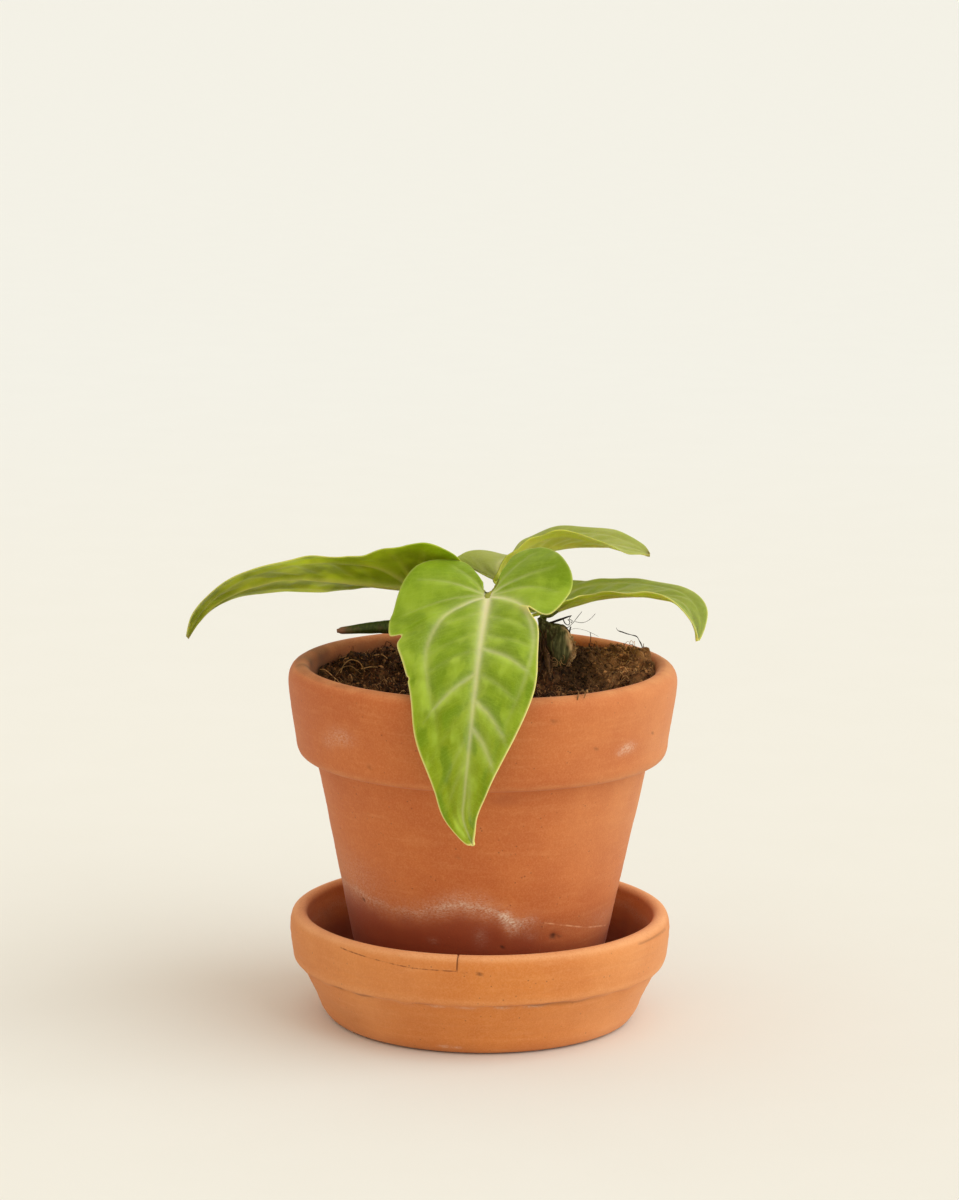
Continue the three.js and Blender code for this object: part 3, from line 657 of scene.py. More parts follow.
wear = np.clip(wear * (0.8 + 0.2 * unevenness(at, 7, 32)), 0, 1)
# painted light: lighter at the right, which faces the lamp, and at the lower left, where it lifts the shade
dry = (0.36 * hill(angle - 66, 40) + 0.3 * hill(angle + 46, 30)) * outside
dry *= 0.85 + 0.3 * unevenness(at, 12, 33)

# %% The saucer as a piece
saucer_finish = clay_finish(
    "saucer_terracotta",
    base=tone(208, 122, 50),
    dark=tone(197, 109, 40),
    light=tone(241, 177, 124),
    damp_and_shade=tone(150, 68, 36),
    line_tone=tone(132, 68, 36),
    line_half=0.26,
)
marks = dict(chalk=chalk, damp_and_shade=damp_and_shade, scar_and_shade=scar_and_shade, soiled_and_shaded=soiled_and_shaded, wear=wear, dry=dry, off_line=hairline)
fire_clay("saucer_dish", "saucer", dish, relief, saucer_finish, marks)

# %% [markdown]
# ## The potting mix
# The mix is peat and bark with coconut fibre. Its top is a height for each place seen from
# above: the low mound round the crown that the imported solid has, heaped up behind and at the
# right wall, with hollows at the left and in front, and lumps and grains over all of it.

# %% Height of the mix
SOIL_LEVEL, POT_FLOOR = 104.6, 14.9
CROWN, DRY_HEAP = (18, 18), (44, 12)
MIX_REACH = 52.3  # how far out the top of the mix goes


def near(x, y, place, width):
    """1 at a place seen from above, falling to nothing a couple of widths away."""
    return hill(np.hypot(x - place[0], y - place[1]), width)


def packed_height(x, y):
    """The top of the mix as packed: a mound round the crown and a few long swells."""
    swells = 0.9 * np.sin(0.31 * x + 1.3) * np.cos(0.27 * y - 0.4) + 0.6 * np.sin(0.62 * x - 0.51 * y + 2.1)
    swells += 0.45 * np.cos(0.93 * y + 0.41 * x) * np.sin(0.88 * x + 0.7) + 0.35 * np.sin(1.37 * x + 1.11 * y)
    return SOIL_LEVEL + 3.2 * near(x, y, CROWN, 260**0.5) + swells


def up_the_wall(x, y):
    """1 where the mix was pressed up against the right wall."""
    return hill(52 - np.hypot(x, y), 7) * hill(np.degrees(np.arctan2(y, x)) - 6, 27)


def shaded_wet_hollow(x, y):
    """1 in the long damp hollow between the crown and the right wall, where leaf shade is painted."""
    return hill(x - 29, 8) * hill(y - 8, 20)


def mix_height(x, y):
    """The top of the mix with heaps, hollows, lumps and grains."""
    p = np.stack([x, y, 0 * x], -1)
    rough = 0.65 * unevenness(p, 3.4, 41) + 0.7 * np.abs(unevenness(p, 1.7, 42))
    rough = (rough + 0.5 * unevenness(p, 0.9, 43)) * np.clip((52.6 - np.hypot(x, y)) / 2.5, 0.3, 1)
    heaps = 3.4 * near(x, y, (44, 15), 17) + 2.4 * np.clip((y - 2) / 26, 0, 1) + 4.1 * up_the_wall(x, y)
    hollows = 2.4 * near(x, y, (-43, 6), 8) + 1.6 * near(x, y, (28, -8), 8) + 0.9 * near(x, y, (10, -36), 9)
    return packed_height(x, y) + rough + heaps - hollows


def pressed_out(x, y):
    """The same places, a little further out where the mix reaches the wider lip."""
    further = 1 + 0.022 * up_the_wall(x, y)
    return x * further, y * further


# %% [markdown]
# ## The body of the mix
# The piece is one closed form: a floor, a side that follows the inner wall, and the top in
# rings that shrink towards the middle. Its finish is nearly black in the damp hollow, where
# leaf shade is painted, and warm brown in the light, with pale grains only where a mark says
# that it is dry.


# %% Potting mix
def mix_finish(name, dark, mid, light):
    """Damp crumbly matter, paler where its mark says dry, and nearly black where it is wet and painted in
    leaf shade.
    """
    f = Finish(name, Specular_IOR_Level=0.15)
    at = f.place()
    fine, broad = f.noise(at, 0.7, 5, 0.7), f.noise(at, 5, 3)
    colour = f.mix(f.fit(fine, 0.42, 0.66), dark, mid)
    colour = f.over(colour, dark, f.fit(f.noise(at, 3.2, 3), 0.52, 0.4), 0.7)
    colour = f.over(colour, light, f.mark("dry"), f.fit(broad, 0.25, 0.7, 0.6, 1))
    # damp and painted leaf shade: nearly black in the hollow
    colour = f.over(colour, tone(16, 9, 5), f.mark("wet"))
    return f.done(colour, f.fit(fine, 0, 1, 0.7, 0.98), fine, 0.5)


WALL_INSIDE = [(29.7, POT_FLOOR), (46.5, 84), (51.3, 97)]
TOP_RINGS, STEPS_ROUND = 97, 240
side = smooth_run(WALL_INSIDE, 4)
top_rings = np.concatenate([np.linspace(MIX_REACH, 0.6, TOP_RINGS - 1), [0.0]])
reach = np.concatenate([[0.0, 15.0], side[:, 0], top_rings])[:, None]
turn = np.radians(np.linspace(0, 360, STEPS_ROUND, endpoint=False))[None, :]
body = np.stack([reach * np.sin(turn), -reach * np.cos(turn), POT_FLOOR + 0 * reach * turn], -1)
body[2:-TOP_RINGS, :, 2] = side[:, 1:]
top = body[-TOP_RINGS:]
top[..., 2] = mix_height(top[..., 0], top[..., 1])
top[..., 0], top[..., 1] = pressed_out(top[..., 0], top[..., 1])
x, y = body[..., 0], body[..., 1]

mix_top = mix_finish("potting_mix", tone(22, 11, 5), tone(108, 57, 27), tone(242, 174, 110))
dry = np.clip(0.3 * unevenness(body, 1.4, 44) + 0.4 * near(x, y, (43, 12), 18), 0, 0.6)
# the wet mark is damp and painted shade of the leaves
marks = {"dry": dry.ravel(), "wet": 0.75 * shaded_wet_hollow(x, y).ravel()}
make_piece("potting_mix", body.reshape(-1, 3), grid_faces(*x.shape), [mix_top], ["soil"], marks)

# %% [markdown]
# ## Crumbs on the mix
# A crumb is a twenty-sided ball pushed out of shape. It is cheap, so there can be many.
# Particles would give loose grains too, but they don't survive an export. Each crumb has one
# brightness of its own, because a heap of identical bits reads as plastic; the dry heap at the
# right holds more of the pale ones. They all stay inside the pot's wall.


# %% Balls pushed out of shape
def twenty_sided():
    """A ball with twelve corners and twenty faces, which all look outwards."""
    g = (1 + 5**0.5) / 2
    signs = [(s, t * g) for s in (-1, 1) for t in (-1, 1)]
    corners = [(s, t, 0) for s, t in signs] + [(0, s, t) for s, t in signs] + [(t, 0, s) for s, t in signs]
    p = np.array(corners) / np.hypot(1, g)
    joined = np.linalg.norm(p[:, None] - p[None], axis=-1) < 1.06
    faces = [f for f in combinations(range(12), 3) if all(joined[pair] for pair in combinations(f, 2))]
    outward = [np.dot(np.cross(p[b] - p[a], p[c] - p[a]), p[a]) > 0 for a, b, c in faces]
    return p, [f if out else f[::-1] for f, out in zip(faces, outward)]


def crumbs(centres, sizes, draw, flat=(0.35, 0.75)):
    """Many small balls pushed out of shape, as points (centre by centre) and faces."""
    ball, corners = twenty_sided()
    points, faces = [], []
    for n, (centre, size) in enumerate(zip(centres, sizes)):
        spin, _ = np.linalg.qr(draw.normal(size=(3, 3)))
        uneven = draw.uniform(0.72, 1.2, (12, 1))
        squeezed = (1, draw.uniform(0.5, 0.9), draw.uniform(*flat))
        points.append((ball * uneven * size * squeezed) @ spin.T + centre)
        faces += [tuple(i + 12 * n for i in f) for f in corners]
    return np.vstack(points), faces


# %% Crumbs
def on_the_mix(draw, count, room):
    """Random places on the mix, at least room mm from the wall, with their own dryness."""
    reach, turn = (51.6 - room) * np.sqrt(draw.random(count)), draw.random(count) * 2 * np.pi
    x, y = reach * np.sin(turn), -reach * np.cos(turn)
    # fewer pale crumbs in the hollows, as painted shade
    hollow_shade = np.minimum(shaded_wet_hollow(x, y) + near(x, y, (-43, 8), 8), 1)
    dry = draw.beta(0.3, 1.5, count) * (1 - 0.6 * hollow_shade)
    dry += 1.1 * near(x, y, DRY_HEAP, 17) * draw.random(count) ** 1.5
    return x, y, np.clip(dry, 0, 1)


CRUMBS = 7400
CRUMB_SIZES = {0.2: 0.42, 0.36: 0.42, 0.6: 0.14, 0.95: 0.02}  # size in mm: share of the crumbs
draw = np.random.default_rng(7)
sizes = draw.choice(list(CRUMB_SIZES), CRUMBS, p=list(CRUMB_SIZES.values())) * draw.uniform(0.8, 1.25, CRUMBS)
x, y, dry = on_the_mix(draw, CRUMBS, sizes)
centres = np.column_stack([*pressed_out(x, y), mix_height(x, y) + 0.25 * sizes])
points, faces = crumbs(centres, sizes, draw)
# damp and painted leaf shade on the crumbs in the hollow
wet = 0.75 * shaded_wet_hollow(x, y) * draw.uniform(0.5, 1.1, CRUMBS)
marks = {"dry": np.repeat(dry, 12), "wet": np.repeat(wet, 12)}
make_piece("mix_crumbs", points, faces, [mix_top], marks=marks, smooth=False)

# %% [markdown]
# ## Fibres in the mix
# Coconut fibres lie across the mix, arch over hollows and stick up at the wall. A hair curve
# would be lost in an export, so each is a thin bent tube with three sides. The scattered ones
# follow the height of the mix; the few that catch the eye are placed one by one.


# %% Thin tubes
def tubes(runs, radii, sides):
    """Many thin tubes as one mesh: each run is its centre line, with a radius at every point."""
    points, faces, start = [], [], 0
    for run, radius in zip(runs, radii):
        tangent = np.gradient(run, axis=0)
        tangent /= np.linalg.norm(tangent, axis=1)[:, None]
        normal = np.cross(tangent[0], (0.3, 0.2, 0.93) if abs(tangent[0, 2]) < 0.9 else (1, 0, 0))
        ring = []
        for p, t, r in zip(run, tangent, np.broadcast_to(radius, len(run))):
            normal = normal - t * np.dot(normal, t)
            normal /= np.linalg.norm(normal)
            a = np.linspace(0, 2 * np.pi, sides, endpoint=False)[:, None]
            ring.append(p + r * (np.cos(a) * normal + np.sin(a) * np.cross(t, normal)))
        points.append(np.vstack(ring))
        faces += [tuple(q) for q in grid_faces(len(run), sides) + start]
        faces.append(tuple(start + k for k in range(sides))[::-1])
        faces.append(tuple(start + (len(run) - 1) * sides + k for k in range(sides)))
        start += len(run) * sides
    return np.vstack(points), faces


# %% Scattered fibres
FIBRES, RINGS = 3600, 6
LIFTS = {0.2: 0.4, 0.7: 0.4, 1.8: 0.2}  # height of the arch in mm: share of the fibres
THICKNESS = {0.06: 0.35, 0.09: 0.35, 0.13: 0.24, 0.19: 0.06}  # radius in mm: share of the fibres

share = np.linspace(0, 1, RINGS)[None, :]
x0, y0, dry = on_the_mix(draw, FIBRES, 1.0)
heading = draw.random((FIBRES, 1)) * 2 * np.pi + draw.normal(0, 0.7, (FIBRES, 1)) * share
step = (draw.gamma(2.0, 1.1, (FIBRES, 1)) + 0.8) / RINGS
x = x0[:, None] + np.cumsum(np.cos(heading) * step, 1)
y = y0[:, None] + np.cumsum(np.sin(heading) * step, 1)
pull = np.minimum(1, 51.4 / np.hypot(x, y))
x, y = x * pull, y * pull
lift = draw.choice(list(LIFTS), (FIBRES, 1), p=list(LIFTS.values())) * draw.uniform(0.5, 1.5, (FIBRES, 1))
level = mix_height(x, y) - 0.1 + lift * np.sin(np.pi * (0.1 + 0.8 * share))
thick = draw.choice(list(THICKNESS), FIBRES, p=list(THICKNESS.values()))[:, None] * (1 - 0.6 * share**3)
points, faces = tubes(np.stack([*pressed_out(x, y), level], -1), thick, 3)
mix_fibre = mix_finish("coconut_fibre", tone(38, 19, 9), tone(130, 70, 34), tone(250, 192, 128))
# the fibres in the hollow take its damp and painted leaf shade too
marks = {"dry": np.repeat(dry, 3 * RINGS), "wet": np.repeat(0.7 * shaded_wet_hollow(x, y).ravel(), 3)}
make_piece("mix_fibres", points, faces, [mix_fibre], marks=marks)

# %% [markdown]
# ## Straws that catch the eye
# A few thicker straws are seen one by one: bent over the mix at the left, standing at the right
# wall, and three that hang over the rim in front. Each is a run through a few points.

# %% Straws
STRAWS = [  # path, thickness, dryness
    ([(-44.5, 13, 105), (-43.4, 17, 107), (-41.6, 19, 108), (-39, 18, 107.6), (-36.8, 14, 105.2)], 0.16, 0.7),
    ([(-46, 10, 104.5), (-44, 13, 106.6), (-41.5, 13, 107.2), (-38, 10, 105.4)], 0.1, 0.5),
    ([(-38.1, 13.7, 106.2), (-35, 15, 106.6), (-31.4, 17.3, 105.8)], 0.17, 1.0),
    ([(-36, 30, 107), (-32, 28, 108), (-28.6, 24, 106)], 0.13, 0.9),
    ([(-50.6, 6, 107.4), (-48.6, 0, 108.4), (-45.9, -4, 107), (-43, -7, 105)], 0.12, 0.8),
    ([(-49.4, -12, 108), (-47, -18, 108.2), (-43.6, -24, 106.4)], 0.1, 0.6),
    ([(-45.4, 24, 107.5), (-41, 26, 108.2), (-37.5, 25, 107)], 0.1, 0.9),
    ([(44.2, 22, 112.6), (45.8, 20, 110.6), (47.2, 18, 107.8)], 0.22, 0.85),
    ([(47.6, 17.6, 110.6), (47.2, 18, 109), (47.6, 17, 107)], 0.16, 0.9),
    ([(38.8, 10, 109.4), (39.2, 9.4, 108), (39.8, 9, 106)], 0.2, 1.0),
    ([(31.6, -24, 108), (31.8, -24.4, 106.2), (32, -24, 104)], 0.28, 0.75),
    ([(26, -39, 106), (27.2, -43, 110.6), (28, -46.4, 112.3), (28.4, -49.4, 112), (28, -51.4, 110.4)],
     0.2, 0.3),
    ([(29.4, -38.6, 105.6), (28.8, -43, 110.4), (29.4, -46.6, 112.2), (30.4, -49.2, 112.1), (30, -51.2, 111)],
     0.17, 0.25),
    ([(25.6, -47.6, 112.1), (27.6, -48.6, 112.3), (29.8, -48, 112.2), (31.8, -48.4, 112)], 0.15, 0.15),
    ([(20, -36, 105), (21.4, -38, 107), (23, -38.6, 107.4), (25, -37.6, 105.6)], 0.12, 1.0),
]
runs = [smooth_run(path, 0.7) for path, _, _ in STRAWS]
radii = [thick * (1 + 0.25 * np.sin(np.arange(len(run)) * 1.9)) for run, (_, thick, _) in zip(runs, STRAWS)]
points, faces = tubes(runs, radii, 5)
dry = np.concatenate([np.full(5 * len(run), dryness) for run, (_, _, dryness) in zip(runs, STRAWS)])
make_piece("mix_straws", points, faces, [mix_fibre], marks={"dry": dry})

# %% [markdown]
# ## The form of a leaf
# An aroid leaf starts flat: a midrib, and on each side a half outline that runs from the notch
# round the basal lobe, in at the waist, and out to the tip. The plant then bends it: the midrib
# arches (pitch and heading), the blade rolls about it, each half folds up or down and curls,
# and the edge waves. Sculpting could give the same surface, but from these few numbers the
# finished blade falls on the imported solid, and it can be made as fine as needed. Lengths are in
# millimetres and angles in degrees, in even steps from the stalk to the tip; each outline has
# seven points for the lobe and seven for the rest.

# %% Leaf values
LEAVES = {
    "front": dict(
        at=[1.3, -21.4, 136.2], length=92, half=21.6,
        heading=-95, turn=-0.3, pitch=[-16.8, -31.5, -64.5, -84.5], roll=[-8.3, -4.8, -3.8],
        wave=[0.35, 5.2, 0.4], aside=[0, 0, 0, 0, 0, 0, 0.15, 0.35, 0.7, 1.1, 1.5, 1.75, -1.4],
        nick=39.5, notch_curl=1.6,
        cross_veins=0.4, strong_veins=[(1, 3), (-1, 2), (-1, 4), (-1, 5)], dark_to=4, dark_over=12,
        left=dict(
            fold=[10.8, 4.4, 0.3], curl=[-10.7, -13.8, -10], lobe=[11.4, 2],
            outline=[
                (2.2, -6.5), (8.2, -19.8), (18.1, -17.3), (25.1, -5.3), (26.3, 4), (20.2, 15.4), (13.9, 13.8),
                (16.9, 20.4), (17.7, 32.9), (17.6, 45.6), (13.5, 59.3), (7.7, 73.6), (3.4, 85.8), (0, 92),
            ],
        ),
        right=dict(
            fold=[5.7, 3.5, 0.5], curl=[-8.4, -13.6, -9.8], lobe=[14.7, 2.7],
            outline=[
                (2.2, -7.2), (8.8, -18.4), (17.6, -17.3), (25.5, -6.6), (29.2, 6.5), (28.5, 18), (24.9, 18.6),
                (25.5, 24), (22.8, 33.3), (19.5, 45.7), (16.3, 60.6), (9.7, 75.1), (3.1, 90.1), (0, 92),
            ],
        ),
    ),
    "left": dict(
        at=[-22.1, 13.4, 132.7], length=78.6, half=22.5,
        heading=172.8, turn=8.4, pitch=[4.4, 3.3, -20.3, -62.7], roll=[-24, -25.5, -20.8],
        wave=[0.15, 7.5, 4.2], cross_veins=0.15, dark_to=26, dark_over=18,
        left=dict(
            fold=[12.9, 1.5, -0.4], curl=[-2.7, -8.3, -6.7], lobe=[5.2, 1.8],
            outline=[
                (3.1, -11), (10.9, -17.1), (21.1, -14), (26.8, -5.4), (27.9, 3.9), (25, 10.7), (22.2, 15.8),
                (20.6, 22), (22.4, 30), (19.9, 38.9), (15.5, 51.2), (10.6, 64), (4.5, 73.2), (0, 78.6),
            ],
        ),
        right=dict(
            fold=[16.9, 6, 13.6], curl=[-1, -10.8, -4.7], lobe=[0, 0],
            outline=[
                (3.1, -11), (10.8, -17.1), (20.7, -14), (27, -5.5), (28, 3.9), (24.8, 10.9), (20, 14.6),
                (20.4, 21.1), (21.7, 28.1), (19.7, 38.9), (16.4, 51.5), (10.3, 63.8), (4.2, 73), (0, 78.6),
            ],
        ),
    ),
    "right": dict(
        at=[22.75, 15, 126.3], length=55.6, half=15.3,
        heading=1.5, turn=-44.8, pitch=[22.7, 6.8, -10, -95.5], roll=[-0.9, 2.9, 5.5],
        wave=[0.2, 6.2, 2],
        left=dict(
            fold=[16, 10, 15.5], curl=[0, 0, 0], lobe=[0, 0],
            outline=[
                (2.1, -7.4), (7.3, -12.1), (13.4, -9.9), (16.6, -3.9), (16.4, 2.8), (15.2, 7.7), (13.8, 10.4),
                (14.1, 14.9), (14.8, 19.8), (13.3, 27.5), (10.6, 36.2), (7.5, 45.4), (3, 51.6), (0, 55.6),
            ],
        ),
        right=dict(
            fold=[14, 8, 15], curl=[0, 0, 0], lobe=[0, 0],
            outline=[
                (2.1, -7.4), (7.3, -12.1), (14, -9.9), (18.3, -3.9), (18.9, 2.8), (16.8, 7.7), (13.7, 10.5),
                (13.9, 14.9), (14.6, 19.8), (13.3, 27.5), (10.9, 36.4), (7.1, 45.2), (3, 51.7), (0, 55.6),
            ],
        ),
    ),
    "back": dict(
        at=[5.7, 30, 131.8], length=52, half=16.5,
        heading=15.8, turn=-12.9, pitch=[57.3, 15.8, -3, -21.4], roll=[17.7, 1.4, -26.9], reach=0.9,
        wave=[0.35, 6.4, 0.2],
        left=dict(
            fold=[11.1, 14.6, 6], curl=[-4.4, 0.4, -7.6], lobe=[52, 0],
            outline=[
                (2.2, -0.9), (6.5, -1.3), (12.5, -1.7), (17.7, -1.8), (17.8, 0.8), (15.4, 5.2), (13.7, 9.4),
                (15.2, 14.2), (16.4, 19.1), (14.1, 25.7), (11.1, 33.8), (7.4, 42.2), (3.8, 48.7), (0, 52),
            ],
        ),
        right=dict(
            fold=[16, 20.5, 4.3], curl=[-3, 2.1, -8], lobe=[0, 0],
            outline=[
                (2.2, -1), (5.2, -2), (9, -1.4), (12.2, 0.8), (14.3, 4.4), (15.2, 8), (15.6, 11.4),
                (16.2, 15), (16.8, 19.3), (14.6, 26), (11.7, 34), (7.5, 42.2), (3.2, 48.2), (0, 52),
            ],
        ),
    ),
}
LOBE_SHARE = 6 / 13  # the seventh of fourteen outline points, where the lobe ends
print("leaf lengths:", {name: leaf["length"] for name, leaf in LEAVES.items()}, "mm")


# %% [markdown]
# ## From flat leaf to bent leaf
# The midrib is walked in small steps, each in the direction that pitch and heading give there.
# A point of the flat leaf is then found from its place along the midrib and its distance from
# it: each half starts off at its fold angle and bends on along an arc.


# %% A blade in space
RIB_STEP, RIB_SPARE = 0.5, 60  # mm a step, and steps beyond both ends


class Blade:
    """A flat leaf and where the plant has bent each of its points to."""

    def __init__(self, leaf):
        self.leaf, self.length = leaf, leaf["length"]
        self.way = np.arange(-RIB_SPARE, int(self.length / RIB_STEP) + RIB_SPARE) * RIB_STEP
        walk = self.along((self.way[:-1] + self.way[1:]) / 2) * RIB_STEP
        walk = np.vstack([np.zeros(3), np.cumsum(walk, axis=0)])
        self.rib = walk - walk[RIB_SPARE] + leaf["at"]

    def angles(self, y):
        """Pitch and heading of the midrib at y millimetres along it."""
        u = y / self.length
        heading = self.leaf["heading"] + self.leaf["turn"] * np.clip(u, 0, 1.1)
        return np.radians(eased(self.leaf["pitch"], u)), np.radians(heading)

    def along(self, y):
        """The direction in which the midrib runs."""
        p, a = self.angles(y)
        return np.stack([np.cos(p) * np.cos(a), np.cos(p) * np.sin(a), np.sin(p)], -1)

    def place(self, x, y, lift=0.0):
        """x across (positive on the leaf's own right), y along the midrib, lifted off the blade."""
        leaf, u = self.leaf, y / self.length
        rib = np.stack([np.interp(y, self.way, self.rib[:, k]) for k in range(3)], -1)
        p, a = self.angles(y)
        up0 = np.stack([-np.sin(p) * np.cos(a), -np.sin(p) * np.sin(a), np.cos(p)], -1)
        side0 = np.stack([np.sin(a), -np.cos(a), 0 * a], -1)
        roll = np.radians(eased(leaf["roll"], u))[..., None]
        side = side0 * np.cos(roll) + up0 * np.sin(roll)
        up = -side0 * np.sin(roll) + up0 * np.cos(roll)
        back = np.clip(leaf.get("reach", 0.35) - y / (0.2 * self.length), 0, 1)
        back = back * back * (3 - 2 * back)
        right = x >= 0

        def bent(key, part):
            """The fold or curl here, with what the lobe adds to it."""
            halves = (leaf[half] for half in ("right", "left"))
            return np.radians(np.where(right, *(eased(h[key], u) + h["lobe"][part] * back for h in halves)))

        fold, bend = bent("fold", 0), bent("curl", 1) / leaf["half"]
        bend = np.where(np.abs(bend) < 1e-6, 1e-6, bend)
        end = fold + bend * np.abs(x)
        out = (np.sin(end) - np.sin(fold)) / bend - lift * np.sin(end)
        rise = -(np.cos(end) - np.cos(fold)) / bend + lift * np.cos(end)
        return rib + side * np.where(right, out, -out)[..., None] + up * rise[..., None]

    def flat(self, i, t, sign):
        """Flat blade point: i runs from notch to tip round the half outline, t from midrib to edge."""
        outline = eased(self.leaf["right" if sign > 0 else "left"]["outline"], i)
        ahead = np.clip((i - LOBE_SHARE) / (1 - LOBE_SHARE), 0, 1)
        rib = self.length * ahead**1.15
        opened = 0.4 * np.clip(1 - i / 0.12, 0, 1) * np.sin(np.pi * t)
        return sign * (outline[..., 0] * t + opened), rib + (outline[..., 1] - rib) * t


# %% [markdown]
# ## Veins
# The veins are what one recognises in this leaf: a broad pale midrib, a strong vein on each
# side that swings out from the stalk and then runs along inside the edge, side veins that join
# it in arches, and a few that fan into each lobe. They could be painted with a texture. Here
# they are drawn as a few smooth runs on the flat leaf. The distance to the nearest one shapes
# the blade, which puckers up between the veins, and colours it, so form and colour agree.

# %% Veins
INNER_VEIN = [  # across as a share of the half width, along as a share of the length
    (0, 0.006), (0.27, 0.045), (0.55, 0.115), (0.69, 0.21), (0.75, 0.31), (0.68, 0.45), (0.52, 0.58),
    (0.43, 0.67), (0.26, 0.8), (0.1, 0.92), (0, 0.985),
]
LOBE_VEINS = [(0.27, 0.33, 0.25), (0.17, 0.24, 0.42), (0.08, 0.14, 0.2)]  # share round at both ends, paleness
SIDE_VEINS, FRONT_LENGTH = 7, 92


def side_vein_runs(blade, inner, sign, rank, start, draw):
    """A side vein from the midrib to the inner vein, and the faint end of it beyond."""
    half, length, across = blade.leaf["half"], blade.length, blade.leaf.get("cross_veins", 0.35)
    start += draw.uniform(-0.02, 0.02)
    target = start + 0.08 + 0.1 * start + 0.03 * draw.uniform(-1, 1)
    meet = inner[np.argmin(np.abs(inner[:, 1] - target * length) + 3 * (inner[:, 1] < 0.2 * length))]
    middle = (0.5 * meet[0], (0.6 * start + 0.4 * target) * length)
    beyond = (meet[0] + sign * 0.2 * half * (1 - start), meet[1] + 0.05 * length)
    strong = (sign, rank) in blade.leaf.get("strong_veins", ())
    pale = 0.4 if strong else across * draw.uniform(0.04, 0.3)
    raised = 0.85 if strong else across**0.6
    return [
        ([(0, start * length), middle, tuple(meet)], (1.5, 1.0), (pale, 0.6 * pale), (raised, 0.9 * raised)),
        ([tuple(meet), beyond], (0.9, 0.6), (0.3 * pale, 0.02), (0.6 * raised, 0.3 * raised)),
    ]


def vein_runs(blade, draw):
    """Each vein: points on the flat leaf, then width, paleness and ridge at its start and end."""
    half, length = blade.leaf["half"], blade.length
    big = length / FRONT_LENGTH
    midrib = [(0, -1.0), (0, 0.3 * length), (0, 0.7 * length), (0, length)]
    runs = [(midrib, (2.3 * big + 0.2, 0.6), (1.0, 0.2), (1, 0.8))]
    for sign in (-1, 1):
        inner = smooth_run(np.array(INNER_VEIN) * (sign * half, length), 0.8)
        runs.append((inner, (1.5 * big + 0.2, 0.6), (0.72, -0.2), (0.9, 0.6)))
        for first, last, pale in LOBE_VEINS:
            t = np.linspace(0, 0.86, 9)
            x, y = blade.flat(first + (last - first) * t, t, sign)
            runs.append((np.column_stack([x, y]), (1.0 * big + 0.2, 0.4), (pale, 0.06), (0.8, 0.4)))
        for rank, start in enumerate(np.linspace(0.12, 0.74, SIDE_VEINS)):
            runs += side_vein_runs(blade, inner, sign, rank, start, draw)
    return runs


# %% [markdown]
# ## Distance to the veins
# Every point of the flat leaf looks for the vein whose mark is strongest there. Going through
# all points for each short piece of vein is simple, and fast enough because it only looks at
# points in a band round the vein.


# %% Marks that the veins leave
def vein_marks(runs, x, y):
    """For each point: paleness of the nearest vein, a soft glow beside it, and the ridge it makes."""
    sharp, glow, ridge = np.zeros_like(x), np.zeros_like(x), np.zeros_like(x)
    for points, width, pale, raised in runs:
        run = smooth_run(points, 1.6)
        share = np.linspace(0, 1, len(run))
        width, raised = (np.interp(share, (0, 1), pair) for pair in (width, raised))
        pale = np.maximum(np.interp(share**0.6, (0, 1), pale), 0)
        close = (x > run[:, 0].min() - 7) & (x < run[:, 0].max() + 7)
        px, py = x[close], y[close]
        s, g, r = sharp[close], glow[close], ridge[close]
        for (ax, ay), (bx, by), w, a, b in zip(run[:-1], run[1:], width, pale, raised):
            dx, dy = bx - ax, by - ay
            k = np.clip(((px - ax) * dx + (py - ay) * dy) / (dx * dx + dy * dy), 0, 1)
            gap = np.hypot(px - ax - k * dx, py - ay - k * dy)
            s = np.maximum(s, a * hill(gap, 0.6 * w))
            g = np.maximum(g, a * hill(gap, 1.2 + 1.1 * w))
            r = np.maximum(r, b * hill(gap, 0.9 + 0.6 * w))
        sharp[close], glow[close], ridge[close] = s, g, r
    return sharp, glow, ridge


# %% [markdown]
# ## What a leaf is made of
# The upper side is velvet: tiny cells scatter light, so it looks softly pale at a slant and
# rich green from straight above. A sheen on the shader does that. The underside is smoother and
# lets light through, so it is a bright olive. Cloudy patches between the veins, painted light
# where the puckers tilt towards the lamp and painted shade where they tilt away, a pale glow
# beside each vein and a thin yellow rim make it a living leaf.


# %% Leaf finish
RIM_YELLOW, DRY_BROWN = tone(222, 214, 138), tone(112, 92, 40)
LEAF_GLOSS = dict(
    Specular_IOR_Level=0.14,
    Sheen_Roughness=0.35,
    Sheen_Tint=(0.9, 1.0, 0.75, 1),
    Subsurface_Weight=0.6,
    Subsurface_Radius=(0.75, 1.0, 0.12),
    Subsurface_Scale=0.0012,
)


